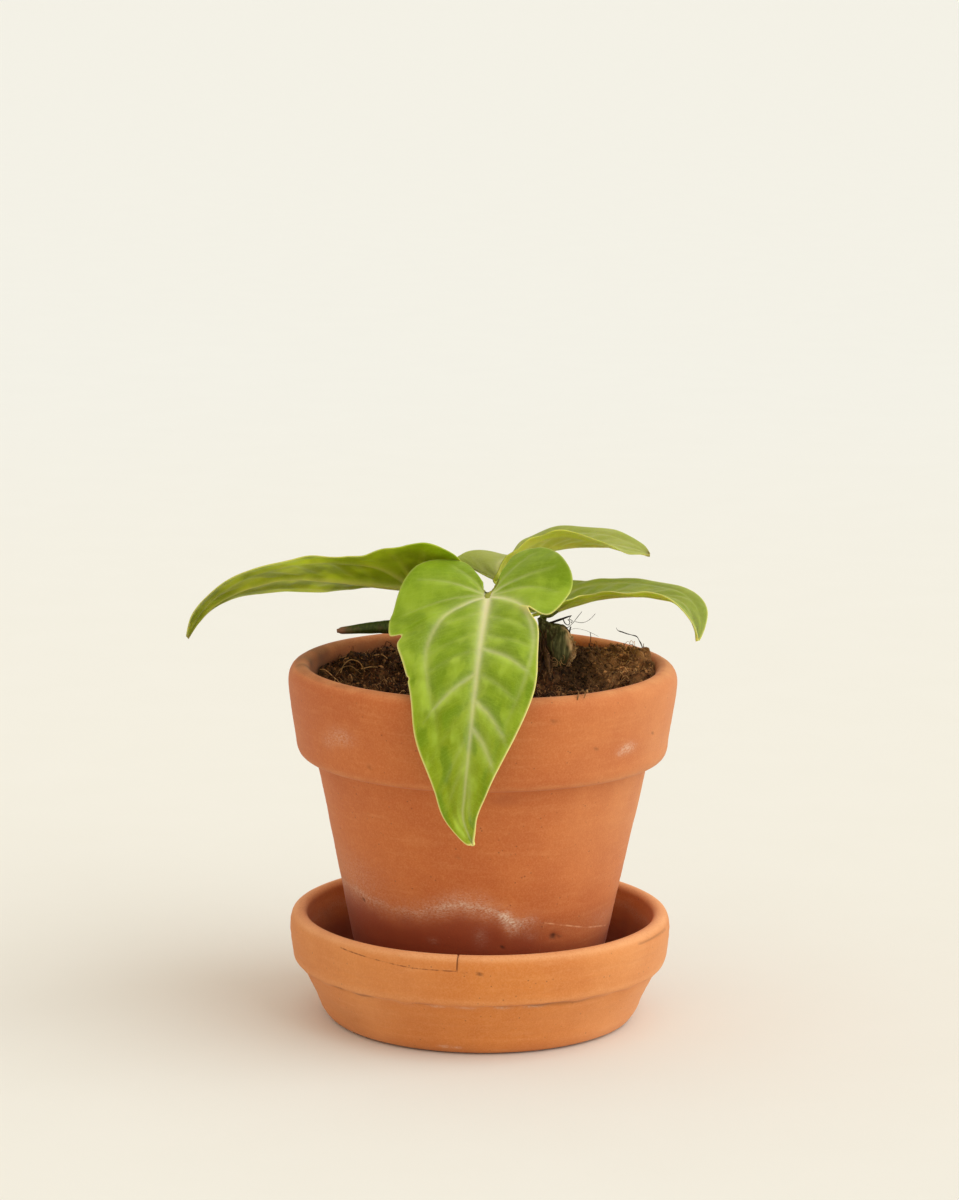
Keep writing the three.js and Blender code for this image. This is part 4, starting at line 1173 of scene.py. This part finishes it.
def leaf_finish(name, tones, velvet, quilting_and_pucker_light, glow=0.4, shown=1.0):
    """Fresh to deep with cloudy patches, painted light and shade on the puckers, pale strokes and veins;
    riper towards the tip.
    """
    fresh, deep, pale, ripe, vein = (tone(*t) for t in tones)
    f = Finish(name, Sheen_Weight=velvet, **LEAF_GLOSS)
    flat = f.mark("flat_leaf", "Vector")
    slanted = f.stretched(f.mark("slanted_leaf", "Vector"), (0.14, 1, 1))
    lengthwise = f.stretched(flat, (1, 0.42, 1))
    cloud, swell = f.noise(flat, 14, 2), f.noise(lengthwise, 4.6, 2, 0.4)
    stroke = f.noise(slanted, 0.9, 3, 0.6)
    net, grain = f.cells(flat, 1.9, "DISTANCE_TO_EDGE"), f.noise(flat, 0.4, 3, 0.65)
    colour = f.mix(f.fit(cloud, 0.38, 0.62), deep, fresh)
    colour = f.over(colour, deep, f.mark("lobe"), 0.6)
    colour = f.over(colour, ripe, f.mark("towards_tip"), 0.85)
    # painted light and shade on the puckers: paler where they tilt towards the lamp, deeper where they tilt
    # away, mixed with random swells
    tilt_to_light = f.plus(f.times(f.mark("slope"), 0.75), f.times(f.maths("SUBTRACT", swell, 0.5), 1.5))
    pucker_light = f.times(f.mark("pucker_light_share"), quilting_and_pucker_light)
    colour = f.over(colour, deep, f.fit(tilt_to_light, 0.0, -0.22), pucker_light)
    colour = f.over(colour, pale, f.fit(tilt_to_light, 0.02, 0.5), pucker_light)
    colour = f.over(colour, pale, f.fit(stroke, 0.42, 0.74), 0.13 * quilting_and_pucker_light)
    colour = f.over(colour, pale, f.fit(net, 0.06, 0.0), 0.12)
    colour = f.over(colour, pale, f.fit(grain, 0.35, 0.7), 0.12)
    colour = f.over(colour, f.mix(0.45, pale, vein), f.mark("vein_glow"), glow)
    colour = f.over(colour, vein, f.mark("vein"), shown)
    colour = f.over(colour, RIM_YELLOW, f.mark("rim"))
    colour = f.over(colour, DRY_BROWN, f.mark("dry"))
    height = f.plus(f.times(grain, 0.5), f.times(f.fit(net, 0.0, 0.25), 0.3))
    height = f.plus(height, f.times(stroke, 0.6))
    rough = f.fit(f.plus(grain, f.times(f.mark("vein"), 0.3)), 0, 1.2, 0.4, 0.62)
    return f.done(colour, rough, height, 0.08)


# %% [markdown]
# ## A palette for each side of each leaf
# The young front leaf is a fresh green, the others are duller above, and undersides glow olive
# where light comes through. The front leaf's underside, seen only in the curl of its notch, is
# an olive painted in shade. A palette holds five tones: fresh, deep, pale, ripe and vein. After
# them stand how velvety the side is, how strongly it is quilted and its puckers painted light
# and dark, how far veins glow and how clearly they show.

# %% Leaf palettes
DEEP_SAGE = (((136, 150, 44), (113, 131, 26), (164, 173, 88), (143, 155, 66), (186, 188, 120)), 0.08, 0.4)
UPPER_PALETTES = {
    "front": (((147, 173, 42), (112, 140, 0), (176, 200, 70), (140, 154, 0), (232, 227, 180)), 0.03, 1.0),
    "left": DEEP_SAGE,
    "right": DEEP_SAGE,
    "back": (((154, 162, 74), (134, 146, 50), (180, 186, 116), (158, 164, 78), (202, 202, 142)), 0.1, 0.4),
}
OLIVE = ((208, 221, 44), (140, 158, 2), (214, 222, 80), (88, 104, 0), (226, 224, 120))
# the front leaf's underside: an olive painted in shade
SHADED_OLIVE = ((128, 134, 22), (96, 102, 6), (150, 156, 50), (96, 104, 0), (190, 186, 90))
GREY_OLIVE = ((228, 226, 96), (206, 208, 66), (238, 236, 132), (216, 216, 96), (238, 234, 160))
BRIGHT_OLIVE = ((224, 232, 70), (206, 218, 44), (232, 236, 104), (196, 206, 60), (236, 234, 150))
UNDER_PALETTES = {
    "front": (SHADED_OLIVE, 0.0, 0.22, 0.16, 0.6),
    "left": (OLIVE, 0.0, 0.22, 0.16, 0.9),
    "right": (BRIGHT_OLIVE, 0.0, 0.25, 0.2, 0.8),
    "back": (GREY_OLIVE, 0.0, 0.35, 0.25, 0.8),
}
RIM_STRENGTH = {"front": 1.0, "left": 0.5, "right": 0.6, "back": 0.15}
upper_side = {name: leaf_finish(f"{name}_leaf_upper", *palette) for name, palette in UPPER_PALETTES.items()}
under_side = {name: leaf_finish(f"{name}_leaf_under", *palette) for name, palette in UNDER_PALETTES.items()}

# %% [markdown]
# ## The net of a blade
# Each blade is one closed skin: an upper side, an under side and a rounded rim between them.
# Rows of points run round the outline and columns from midrib to edge, closer together at both,
# where the detail is. Points that belong to both halves, on the midrib and at the tip, are
# shared, so the skin has no seam.


# %% The flat net of a blade
def blade_net(rows, columns):
    """Points as (i, t, side) and the faces between them, for both halves of a blade."""
    u = np.linspace(0, 1, columns + 1)
    across = u - 0.09 * np.sin(2 * np.pi * u)
    net, number, faces = [(0.0, 0.0, 1)], {}, []

    def vertex(sign, r, c):
        """The number of a point, the same for both halves where they share it."""
        if c == 0 and r / rows <= LOBE_SHARE:
            return 0
        key = "tip" if r == rows else ("rib", r) if c == 0 else (sign, r, c)
        if key not in number:
            number[key] = len(net)
            net.append((r / rows, 0.0 if r == rows else across[c], sign))
        return number[key]

    for sign in (-1, 1):
        for r in range(rows):
            for c in range(columns):
                around = ((r, c), (r, c + 1), (r + 1, c + 1), (r + 1, c))
                corners = [vertex(sign, *place) for place in around]
                face = [v for k, v in enumerate(corners) if v not in corners[:k]]
                if len(face) > 2:
                    faces.append(tuple(face if sign > 0 else face[::-1]))
    return (*np.array(net).T, faces)


def point_normals(points, faces):
    """The direction in which the surface looks at each of its points."""
    normal = np.zeros_like(points)
    for face in faces:
        p = points[list(face)]
        diagonals = (p[2] - p[0], p[3] - p[1]) if len(face) == 4 else (p[1] - p[0], p[2] - p[0])
        normal[list(face)] += np.cross(*diagonals)
    return normal / np.maximum(np.linalg.norm(normal, axis=1), 1e-12)[:, None]


# %% [markdown]
# ## A thin skin with a rounded rim
# The middle sheet is pushed out to both sides along its normals. Along its border, which is
# every edge that only one face has, a row of rim points closes the two sides. A solidify
# modifier would do nearly that, but couldn't thicken the sheet under the veins alone.


# %% Skin
def skin(middle, faces, above, below, rim_out):
    """Upper and under side of a thin sheet, and a rounded rim all round its border."""
    normal = point_normals(middle, faces)
    edges = {pair for face in faces for pair in zip(face, face[1:] + face[:1])}
    border = [(a, b) for a, b in edges if (b, a) not in edges]
    after, before = dict(border), {b: a for a, b in border}
    on_rim = sorted(after)
    out = np.cross([middle[after[v]] - middle[before[v]] for v in on_rim], normal[on_rim])
    out /= np.maximum(np.linalg.norm(out, axis=1), 1e-9)[:, None]
    n = len(middle)
    rim = {v: 2 * n + k for k, v in enumerate(on_rim)}
    upper, under = middle + normal * above[:, None], middle - normal * below[:, None]
    points = np.vstack([upper, under, middle[on_rim] + rim_out * out])
    closed = [*faces, *(tuple(n + v for v in face[::-1]) for face in faces)]
    kind = [0] * len(faces) + [1] * len(faces)
    for a, b in border:
        closed += [(b, a, rim[a], rim[b]), (rim[b], rim[a], n + a, n + b)]
        kind += [0, 1]
    return points, closed, kind, np.concatenate([np.arange(n), np.arange(n), on_rim])


# %% [markdown]
# ## Growing a blade
# The flat net gets its veins and puckers first, then its waved edge, and only then is bent into
# place. The same heights that shape it are stored as marks for its finish: how it slopes, which
# the finish turns into painted light and shade, where veins and rim run, how near its tip and
# lobe it is.


# %% Growing a blade
def edge_wave(leaf, i, t, sign):
    """How far the edge waves up and down; it lies still at the midrib and at the tip."""
    size, count, start = leaf["wave"]
    return size * np.sin(2 * np.pi * count * i + start + sign) * t**2.2 * np.clip((1 - i) * 6, 0, 1)


def blade_marks(name, leaf, i, sign, flat, edge, lean, curl):
    """What the finish needs to know at each point, apart from the veins."""
    x, y, _ = flat.T
    along = y / leaf["length"]
    slant = 0.2 + 0.7 * np.clip(along, 0, 1)
    to_edge = np.hypot(edge[0] - x, edge[1] - y)
    rim = RIM_STRENGTH[name] * hill(to_edge, 0.36) * np.interp(i, (0.3, 0.46), (0.3, 1))
    return {
        "rim": np.clip(rim + 0.5 * np.abs(curl), 0, 0.9),
        # the slope of the puckers, and how much of it the finish paints as light and shade
        "slope": np.clip(-lean[:, 1] / lean[:, 2], -0.6, 0.6),
        "pucker_light_share": 0.35 + 0.65 * np.clip((along - 0.2) / 0.25, 0, 1),
        "lobe": np.clip((leaf.get("dark_to", 4) - y) / leaf.get("dark_over", 12), 0, 1),
        "towards_tip": np.clip((along - 0.35) / 0.6, 0, 1),
        "dry": 0.8 * hill(leaf["length"] - y, 1.3) * (name in ("back", "left")),
        "flat_leaf": flat,
        "slanted_leaf": np.stack([np.abs(x), y - slant * np.abs(x), 7.0 * sign], -1),
    }


def grow_blade(name, rows, columns, seed):
    """One leaf blade as a piece, from its values."""
    blade = Blade(LEAVES[name])
    leaf, length = blade.leaf, blade.length
    i, t, sign, faces = blade_net(rows, columns)
    x, y = np.where(sign > 0, blade.flat(i, t, 1), blade.flat(i, t, -1))
    x[0], y[0], x[i == 1], y[i == 1] = 0, 0, 0, length
    edge = np.where(sign > 0, blade.flat(i, 1.0, 1), blade.flat(i, 1.0, -1))
    flat = np.stack([x, y, 0 * x], -1)

    sharp, glow, ridge = vein_marks(vein_runs(blade, np.random.default_rng(seed)), x, y)
    inner = np.clip((1 - t) * 4, 0, 1)
    puffed = (0.9 * (1 - ridge) - 0.7) * inner
    puffed += 0.28 * unevenness(flat, 7, seed) + 0.05 * unevenness(flat, 2, seed + 9)
    curl = leaf.get("notch_curl", 0) * hill(i - LOBE_SHARE, 0.035) * t**4 * (sign < 0)
    aside = eased(leaf.get("aside", [0, 0]), y / length)
    if "nick" in leaf:
        aside = aside - 0.6 * hill(y - leaf["nick"], 0.8) * t**8 * (sign > 0)
    middle = blade.place(x + aside, y, edge_wave(leaf, i, t, sign) + puffed + curl)
    lean = point_normals(np.stack([x, y, puffed], -1), faces)

    rib = hill(x, 0.9) * np.clip(1.15 - y / length, 0, 1) * (y > -2)
    thin = 0.17 + 0.09 * inner
    above, below = thin + 0.1 * rib + 0.04 * sharp, thin + 0.6 * rib + 0.3 * ridge * inner
    points, closed, side_of_face, order = skin(middle, faces, above, below, 0.1)
    marks = {"vein": sharp, "vein_glow": glow, **blade_marks(name, leaf, i, sign, flat, edge, lean, curl)}
    marks = {key: values[order] for key, values in marks.items()}
    node, finishes = f"leaf_{name}", [upper_side[name], under_side[name]]
    make_piece(f"{name}_leaf", points, closed, finishes, [node], marks, side_of_face)


BLADE_NETS = {"front": (240, 36), "left": (190, 28), "right": (150, 24), "back": (150, 24)}  # rows, columns
for seed, (name, net) in enumerate(BLADE_NETS.items(), 50):
    grow_blade(name, *net, seed)

# %% [markdown]
# ## Stalks and stem
# The leaf stalks rise from a short stem, round and smooth, with a slight knee just under the
# blade. Each could be a bevelled curve; a tube with its own radius at every ring lets the base
# widen into a sheath and the knee swell. The cut stalk at the left has dried brown at its end.


# %% A stalk
def under_blade(leaf, behind, below):
    """A point behind and below the place where a blade joins its stalk."""
    blade, zero = Blade(leaf), np.zeros(1)
    up = (blade.place(zero, zero, 1.0) - blade.place(zero, zero))[0]
    return np.array(leaf["at"]) - behind * blade.along(zero)[0] - below * up


def stalk(name, path, radii, slot, finish, node, sides=20, ribbed=0.0, knots=0.04, seed=0, closer=0.0):
    """A round stalk along a path, with a radius that changes evenly and softly closed ends."""
    run = smooth_run(path, 0.5)
    u = np.linspace(0, 1, len(run))
    radius = eased(radii, u) * np.clip(np.minimum(u, 1 - u) * len(run) / 2.5, 0.35, 1) ** 0.5
    points, faces = tubes([run], [radius - closer], sides)
    ring = points.reshape(len(run), sides, 3)
    around = np.arange(sides) * 2 * np.pi / sides
    swell = 1 + ribbed * np.sin(5 * around + 1.3 * seed)[None]
    swell = swell + 0.05 * unevenness(ring, 3, 70 + seed) + knots * unevenness(ring, 1.1, 71 + seed)
    points = (run[:, None] + (ring - run[:, None]) * swell[..., None]).reshape(-1, 3)
    return make_piece(name, points, faces, [finish], [node], {"along": np.repeat(u, sides)})


# %% Stalk finishes
def stalk_finish(name, base, streak, tip, tip_from, rough=(0.42, 0.6)):
    """A green or brown stalk with fine lengthwise streaks, changing colour towards its tip."""
    base, streak, tip = tone(*base), tone(*streak), tone(*tip)
    f = Finish(name, Specular_IOR_Level=0.25)
    fine, broad = f.noise(f.place((1, 1, 0.35)), 0.6, 3), f.noise(f.place(), 3.5, 3)
    colour = f.mix(f.fit(fine, 0.4, 0.7), base, streak)
    colour = f.over(colour, tip, f.fit(broad, 0.5, 0.75), 0.3)
    ragged = f.plus(f.mark("along"), f.times(f.maths("SUBTRACT", broad, 0.5), 0.12))
    colour = f.over(colour, tip, f.fit(ragged, tip_from, tip_from + 0.06))
    return f.done(colour, f.fit(fine, 0, 1, *rough), fine, 0.12)


DULL, NO_TIP = (0.6, 0.85), 1.2
petiole_green = stalk_finish("petiole_green", (104, 116, 30), (136, 144, 52), (150, 154, 62), 0.9)
stem_green = stalk_finish("stem_green", (84, 88, 36), (110, 104, 50), (96, 78, 42), NO_TIP)
stub_green = stalk_finish("stub_green", (54, 66, 18), (78, 90, 30), (132, 92, 66), 0.93)
root_brown = stalk_finish("root_brown", (70, 44, 24), (116, 82, 50), (150, 112, 72), 0.97, DULL)
twig_black = stalk_finish("twig_black", (30, 19, 12), (62, 42, 28), (90, 62, 44), NO_TIP, DULL)

# %% Stem, leaf stalks and the cut stalk
CROWN_STEM = [(19, 19, 94), (18.5, 18.5, 104), (17.5, 17.8, 111), (16.5, 17, 117.5)]
CUT_STALK = [(13.5, 15.5, 111.8), (2, 12.5, 116.6), (-14, 10.5, 120.3), (-30, 8.5, 120.7), (-45.4, 6, 119.7)]
LEAF_STALKS = {  # the path up to the knee, then the radii
    "front": ([(15, 15.5, 113), (10, 9, 118.5), (5, -4, 127)], [2.6, 1.9, 1.6, 1.5, 1.7]),
    "left": ([(14, 18.5, 112), (4, 17.5, 121), (-8, 15, 128)], [2.5, 1.8, 1.5, 1.4, 1.6]),
    "back": ([(15.5, 21, 112), (9, 26, 119), (4, 29, 124.5)], [2.2, 1.6, 1.4, 1.3, 1.5]),
    "right": ([(18, 18, 114), (18.4, 17.6, 119.4), (19, 16.8, 123.2)], [2.0, 1.5, 1.3, 1.1, 1.1]),
}
KNEES_AND_ENDS = {  # how far behind and below the blade's joint the knee and the end of the stalk lie
    "front": ((6, 3.6), (-1.5, 0.6)),
    "left": ((6, 3.4), (-1.5, 0.6)),
    "back": ((3, 2.4), (-1.2, 0.6)),
    "right": ((2.6, 1.4), (-1.4, 0.4)),
}
stalk("crown_stem", CROWN_STEM, [4.6, 5.2, 4.9, 4.0, 3.0], "stem", stem_green, "stem", 28, 0.03, seed=1)
for seed, (name, (path, radii)) in enumerate(LEAF_STALKS.items()):
    path = [*path, *(under_blade(LEAVES[name], *place) for place in KNEES_AND_ENDS[name])]
    node = f"petiole_{name}"
    stalk(f"{name}_petiole", path, radii, "petiole", petiole_green, node, ribbed=0.02, seed=seed, closer=0.12)
stub_radii = [2.4, 2.3, 2.2, 2.0, 1.05]
stalk("cut_stalk", CUT_STALK, stub_radii, "petiole_stub", stub_green, "petiole_stub", 22, 0.06, seed=5)

# %% [markdown]
# ## The sheath beside the crown
# A young aroid leaf comes out of a pointed sheath, which then stands beside the stem, folds
# lengthwise and dries to paper at its edge. A flat sheet with thickness could be folded up;
# a closed tube, pressed flat and creased by a few waves round it, keeps the solid's place and
# is simpler to keep whole.

# %% Shape of the sheath
SHEATH_PATH = [
    (23.4, 12.6, 104.4), (23.2, 12.4, 108.5), (24.0, 12.3, 113), (22.8, 12.5, 117.0), (19.4, 12.8, 120.4),
    (17.2, 13, 123.2),
]
SHEATH_RADII, SHEATH_SIDES = [1.7, 2.4, 4.2, 4.4, 2.3, 0.4], 72
run = smooth_run(SHEATH_PATH, 0.3)
u = np.linspace(0, 1, len(run))
points, faces = tubes([run], [eased(SHEATH_RADII, u)], SHEATH_SIDES)
ring = points.reshape(len(run), SHEATH_SIDES, 3)
around = np.arange(SHEATH_SIDES)[None] * 2 * np.pi / SHEATH_SIDES
u = u[:, None]
creases = 0.14 * np.abs(np.sin(2.5 * around + 1.2 * u + 0.5)) - 0.06 * np.abs(np.cos(6.5 * around - 2 * u))
creases += 0.10 * unevenness(ring * (1, 1, 0.3), 2.2, 80) + 0.03 * unevenness(ring, 0.9, 81)
out = (ring - run[:, None]) * (1 + creases)[..., None] * (1, 0.75, 1)
sheath = run[:, None] + out
papery = np.clip((out[..., 0] / 4.0 - 0.6) * 3 + 0.5 * unevenness(sheath, 1.3, 82), 0, 1)
papery = papery * np.clip(4 * u, 0, 1)

# %% [markdown]
# ## Green skin, paper edge
# The skin is grey-green with lengthwise folds and brown mottling. Its right edge has dried to
# pale paper, which breaks into a fringe of small thin flakes. The flakes are the same pushed
# balls as the crumbs, only pressed flat.

# %% Sheath and fringe
f = Finish("sheath_skin", Specular_IOR_Level=0.2)
folds, mottle = f.noise(f.place((1, 1, 0.12)), 0.8, 3), f.noise(f.place(), 2.6, 4)
colour = f.mix(f.fit(folds, 0.4, 0.74), tone(70, 70, 34), tone(134, 130, 82))
colour = f.over(colour, tone(66, 54, 26), f.fit(mottle, 0.54, 0.7))
colour = f.over(colour, f.mix(folds, tone(166, 116, 68), tone(250, 210, 154)), f.mark("papery"))
sheath_skin = f.done(colour, f.fit(mottle, 0, 1, 0.55, 0.85), folds, 0.25)
marks = {"papery": papery.ravel()}
make_piece("crown_sheath", sheath.reshape(-1, 3), faces, [sheath_skin], ["cataphyll"], marks)

PAPER_EDGE = [
    (24.4, 11.0, 119.4), (27.2, 10.8, 117.2), (28.6, 10.8, 114.4), (28.2, 10.6, 111.6), (26.6, 10.4, 109)
]
FLAKES = 150
draw = np.random.default_rng(12)
edge = smooth_run(PAPER_EDGE, count=FLAKES)
flake_at = edge + draw.normal(0, 0.3, edge.shape) * (1, 1, 0.6)
points, faces = crumbs(flake_at, draw.uniform(0.3, 0.95, FLAKES), draw, flat=(0.06, 0.14))
marks = {"papery": np.repeat(draw.uniform(0.5, 1, FLAKES), 12)}
make_piece("sheath_fringe", points, faces, [sheath_skin], marks=marks, smooth=False)

# %% [markdown]
# ## Roots and twigs
# Two roots leave the crown and dive into the mix. A black dry twig stands out from behind the
# sheath, and a wiry knotty one at the right wall. They are stalks too, with fewer sides and
# more knots.

# %% Roots and twigs
FRONT_ROOT = [(19.5, 13.5, 113), (20, 8.5, 112), (20.6, 3, 108.2), (21.4, -3.5, 103), (21.6, -5.2, 99)]
SIDE_ROOT = [(16.5, 13, 111), (13, 7, 109.5), (12.6, 2, 106.5), (14, -2.5, 102)]
BLACK_TWIG = [(18.6, 15.5, 118), (19.8, 14, 120.8), (22, 12.8, 122), (24.8, 12, 123.2), (27.5, 11.6, 124.3)]
WIRY_TWIG = [
    (48.4, 12.5, 101), (48.9, 14.5, 106.5), (49.6, 17.4, 110.4), (50, 18, 113.2), (48.9, 18, 115.6),
    (48.2, 18, 116.7), (47.6, 18, 116.9), (45.4, 18.2, 117.4), (43.8, 18.6, 117.9), (42.2, 19, 118.4),
    (41.8, 19, 119.2),
]
ROOT, TWIG = ("root", root_brown), ("fibre", twig_black)  # slot and finish
stalk("front_root", FRONT_ROOT, [1.0, 0.7, 0.55, 0.55, 0.5], *ROOT, "aerial_root_front", 12, 0.04, 0.12, 6)
stalk("side_root", SIDE_ROOT, [0.9, 0.75, 0.65, 0.6], *ROOT, "aerial_root_side", 12, 0.04, 0.12, 7)
stalk("black_twig", BLACK_TWIG, [0.65, 0.45, 0.36, 0.32, 0.24], *TWIG, "dry_root", 9, 0.08, 0.15, 8)
stalk("wiry_twig", WIRY_TWIG, [0.62, 0.3, 0.2, 0.18, 0.12], *TWIG, "wiry_fibre", 8, 0.1, 0.6, 9)

# %% [markdown]
# ## Rootlets and old strands
# Hair-fine rootlets curl from the black twig, brown strands of old sheaths hang down the stem,
# and a tuft of pale curls sits at its foot. The rootlets are placed one by one; strands and
# curls follow a rule with a fixed draw.

# %% Rootlets
ROOTLETS_LEFT = 1.6  # the rootlets are drawn this far left of their written places
ROOTLETS = [  # path and thickness
    ([(26.4, 12.2, 123.2), (27.2, 12.2, 121.6), (28.2, 12, 121.2), (28.6, 11.8, 122.3), (28, 11.8, 123)],
     0.2),
    ([(28.9, 11.6, 124.2), (28.4, 11.8, 123.1), (29.4, 12, 122.6), (29.0, 12, 121.9)], 0.16),
    ([(32.3, 12, 125.5), (31, 12, 123.8), (29.8, 12, 122.2), (28.2, 12, 120.6), (26.9, 12, 119.9),
      (26, 12, 119)], 0.13),
    ([(36.5, 12, 124.9), (35.4, 12, 123.6), (33.8, 12, 122.4), (32.2, 12, 122.0), (30.2, 12, 122.3)], 0.1),
    ([(28.9, 12, 120.7), (28.6, 12, 119.4), (28.3, 12, 118), (27.2, 12, 116.6)], 0.28),
    ([(27.0, 12, 118.6), (30, 12.4, 120.0), (33.6, 12.6, 119.4), (37.6, 12.6, 117.6)], 0.06),
    ([(24.8, 11.6, 120.6), (26.2, 11.6, 121.4), (27.4, 11.8, 120.6), (28.4, 12, 119.2)], 0.18),
    ([(23.6, 12, 121.4), (25, 12, 121.2), (26.4, 12, 120.2)], 0.25),
    ([(35, 30, 108), (35.6, 34, 111), (35.9, 35, 113.2), (35.7, 35, 114.6)], 0.16),
    ([(20.8, 4, 111.6), (19.6, 3, 108.6), (18.2, 2, 105.4)], 0.2),
    ([(20.4, 5, 108.6), (22, 3, 106.4), (23.9, 1, 103.4)], 0.2),
]
rootlets = [(np.array(path, float) - (ROOTLETS_LEFT, 0, 0), thick) for path, thick in ROOTLETS]

# %% Old strands and the pale tuft
STRANDS, CURLS = 46, 22
strands = []
for n in range(STRANDS):
    x, z = draw.uniform(17.6, 21.6), draw.uniform(110, 121)
    drop = draw.uniform(3, min(11, z - 105))
    middle_x, end_x, y = draw.normal(0, 0.7, 3)
    path = [(x, 11.2 + y, z), (x + middle_x, 10.4 + y, z - drop / 2), (x + end_x + 0.6, 10 + y, z - drop)]
    strands.append((path, draw.uniform(0.08, 0.26)))
tuft = []
for n in range(CURLS):
    start, size, where = draw.uniform(0, 2 * np.pi), draw.uniform(0.6, 1.8), draw.normal(0, (1.3, 0.3, 1.1))
    a = start + np.linspace(0, 2.3, 5)
    arc = (22.6 + size * np.cos(a), 9.2 + 0.5 * np.sin(a + 2 * start), 109 + size * np.sin(a))
    tuft.append((np.column_stack(arc) + where, draw.uniform(0.06, 0.13)))

# %% Thin pieces round the crown
THIN_PIECES = {
    "rootlets": (rootlets, twig_black),
    "old_strands": (strands, root_brown),
    "pale_tuft": (tuft, mix_fibre),
}
for name, (group, finish) in THIN_PIECES.items():
    runs = [smooth_run(path, 0.4) for path, _ in group]
    radii = [0.75 * thick * (1 + 0.3 * unevenness(run, 0.8, 90)) for run, (_, thick) in zip(runs, group)]
    points, faces = tubes(runs, radii, 5)
    share = np.concatenate([np.full(5 * len(run), draw.uniform(0.2, 0.95)) for run in runs])
    make_piece(name, points, faces, [finish], marks={"along": share, "dry": share})

# %% [markdown]
# ## Sizes
# Both boxes, the solids' and the finished model's, are printed. The finished model must stay
# inside the solids' box.

# %% Sizes
finished_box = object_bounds()
for name, box in (("solids", CAD_BOX), ("finished", finished_box)):
    print(name, [round(1000 * (high - low), 1) for low, high in zip(*box)], "mm")
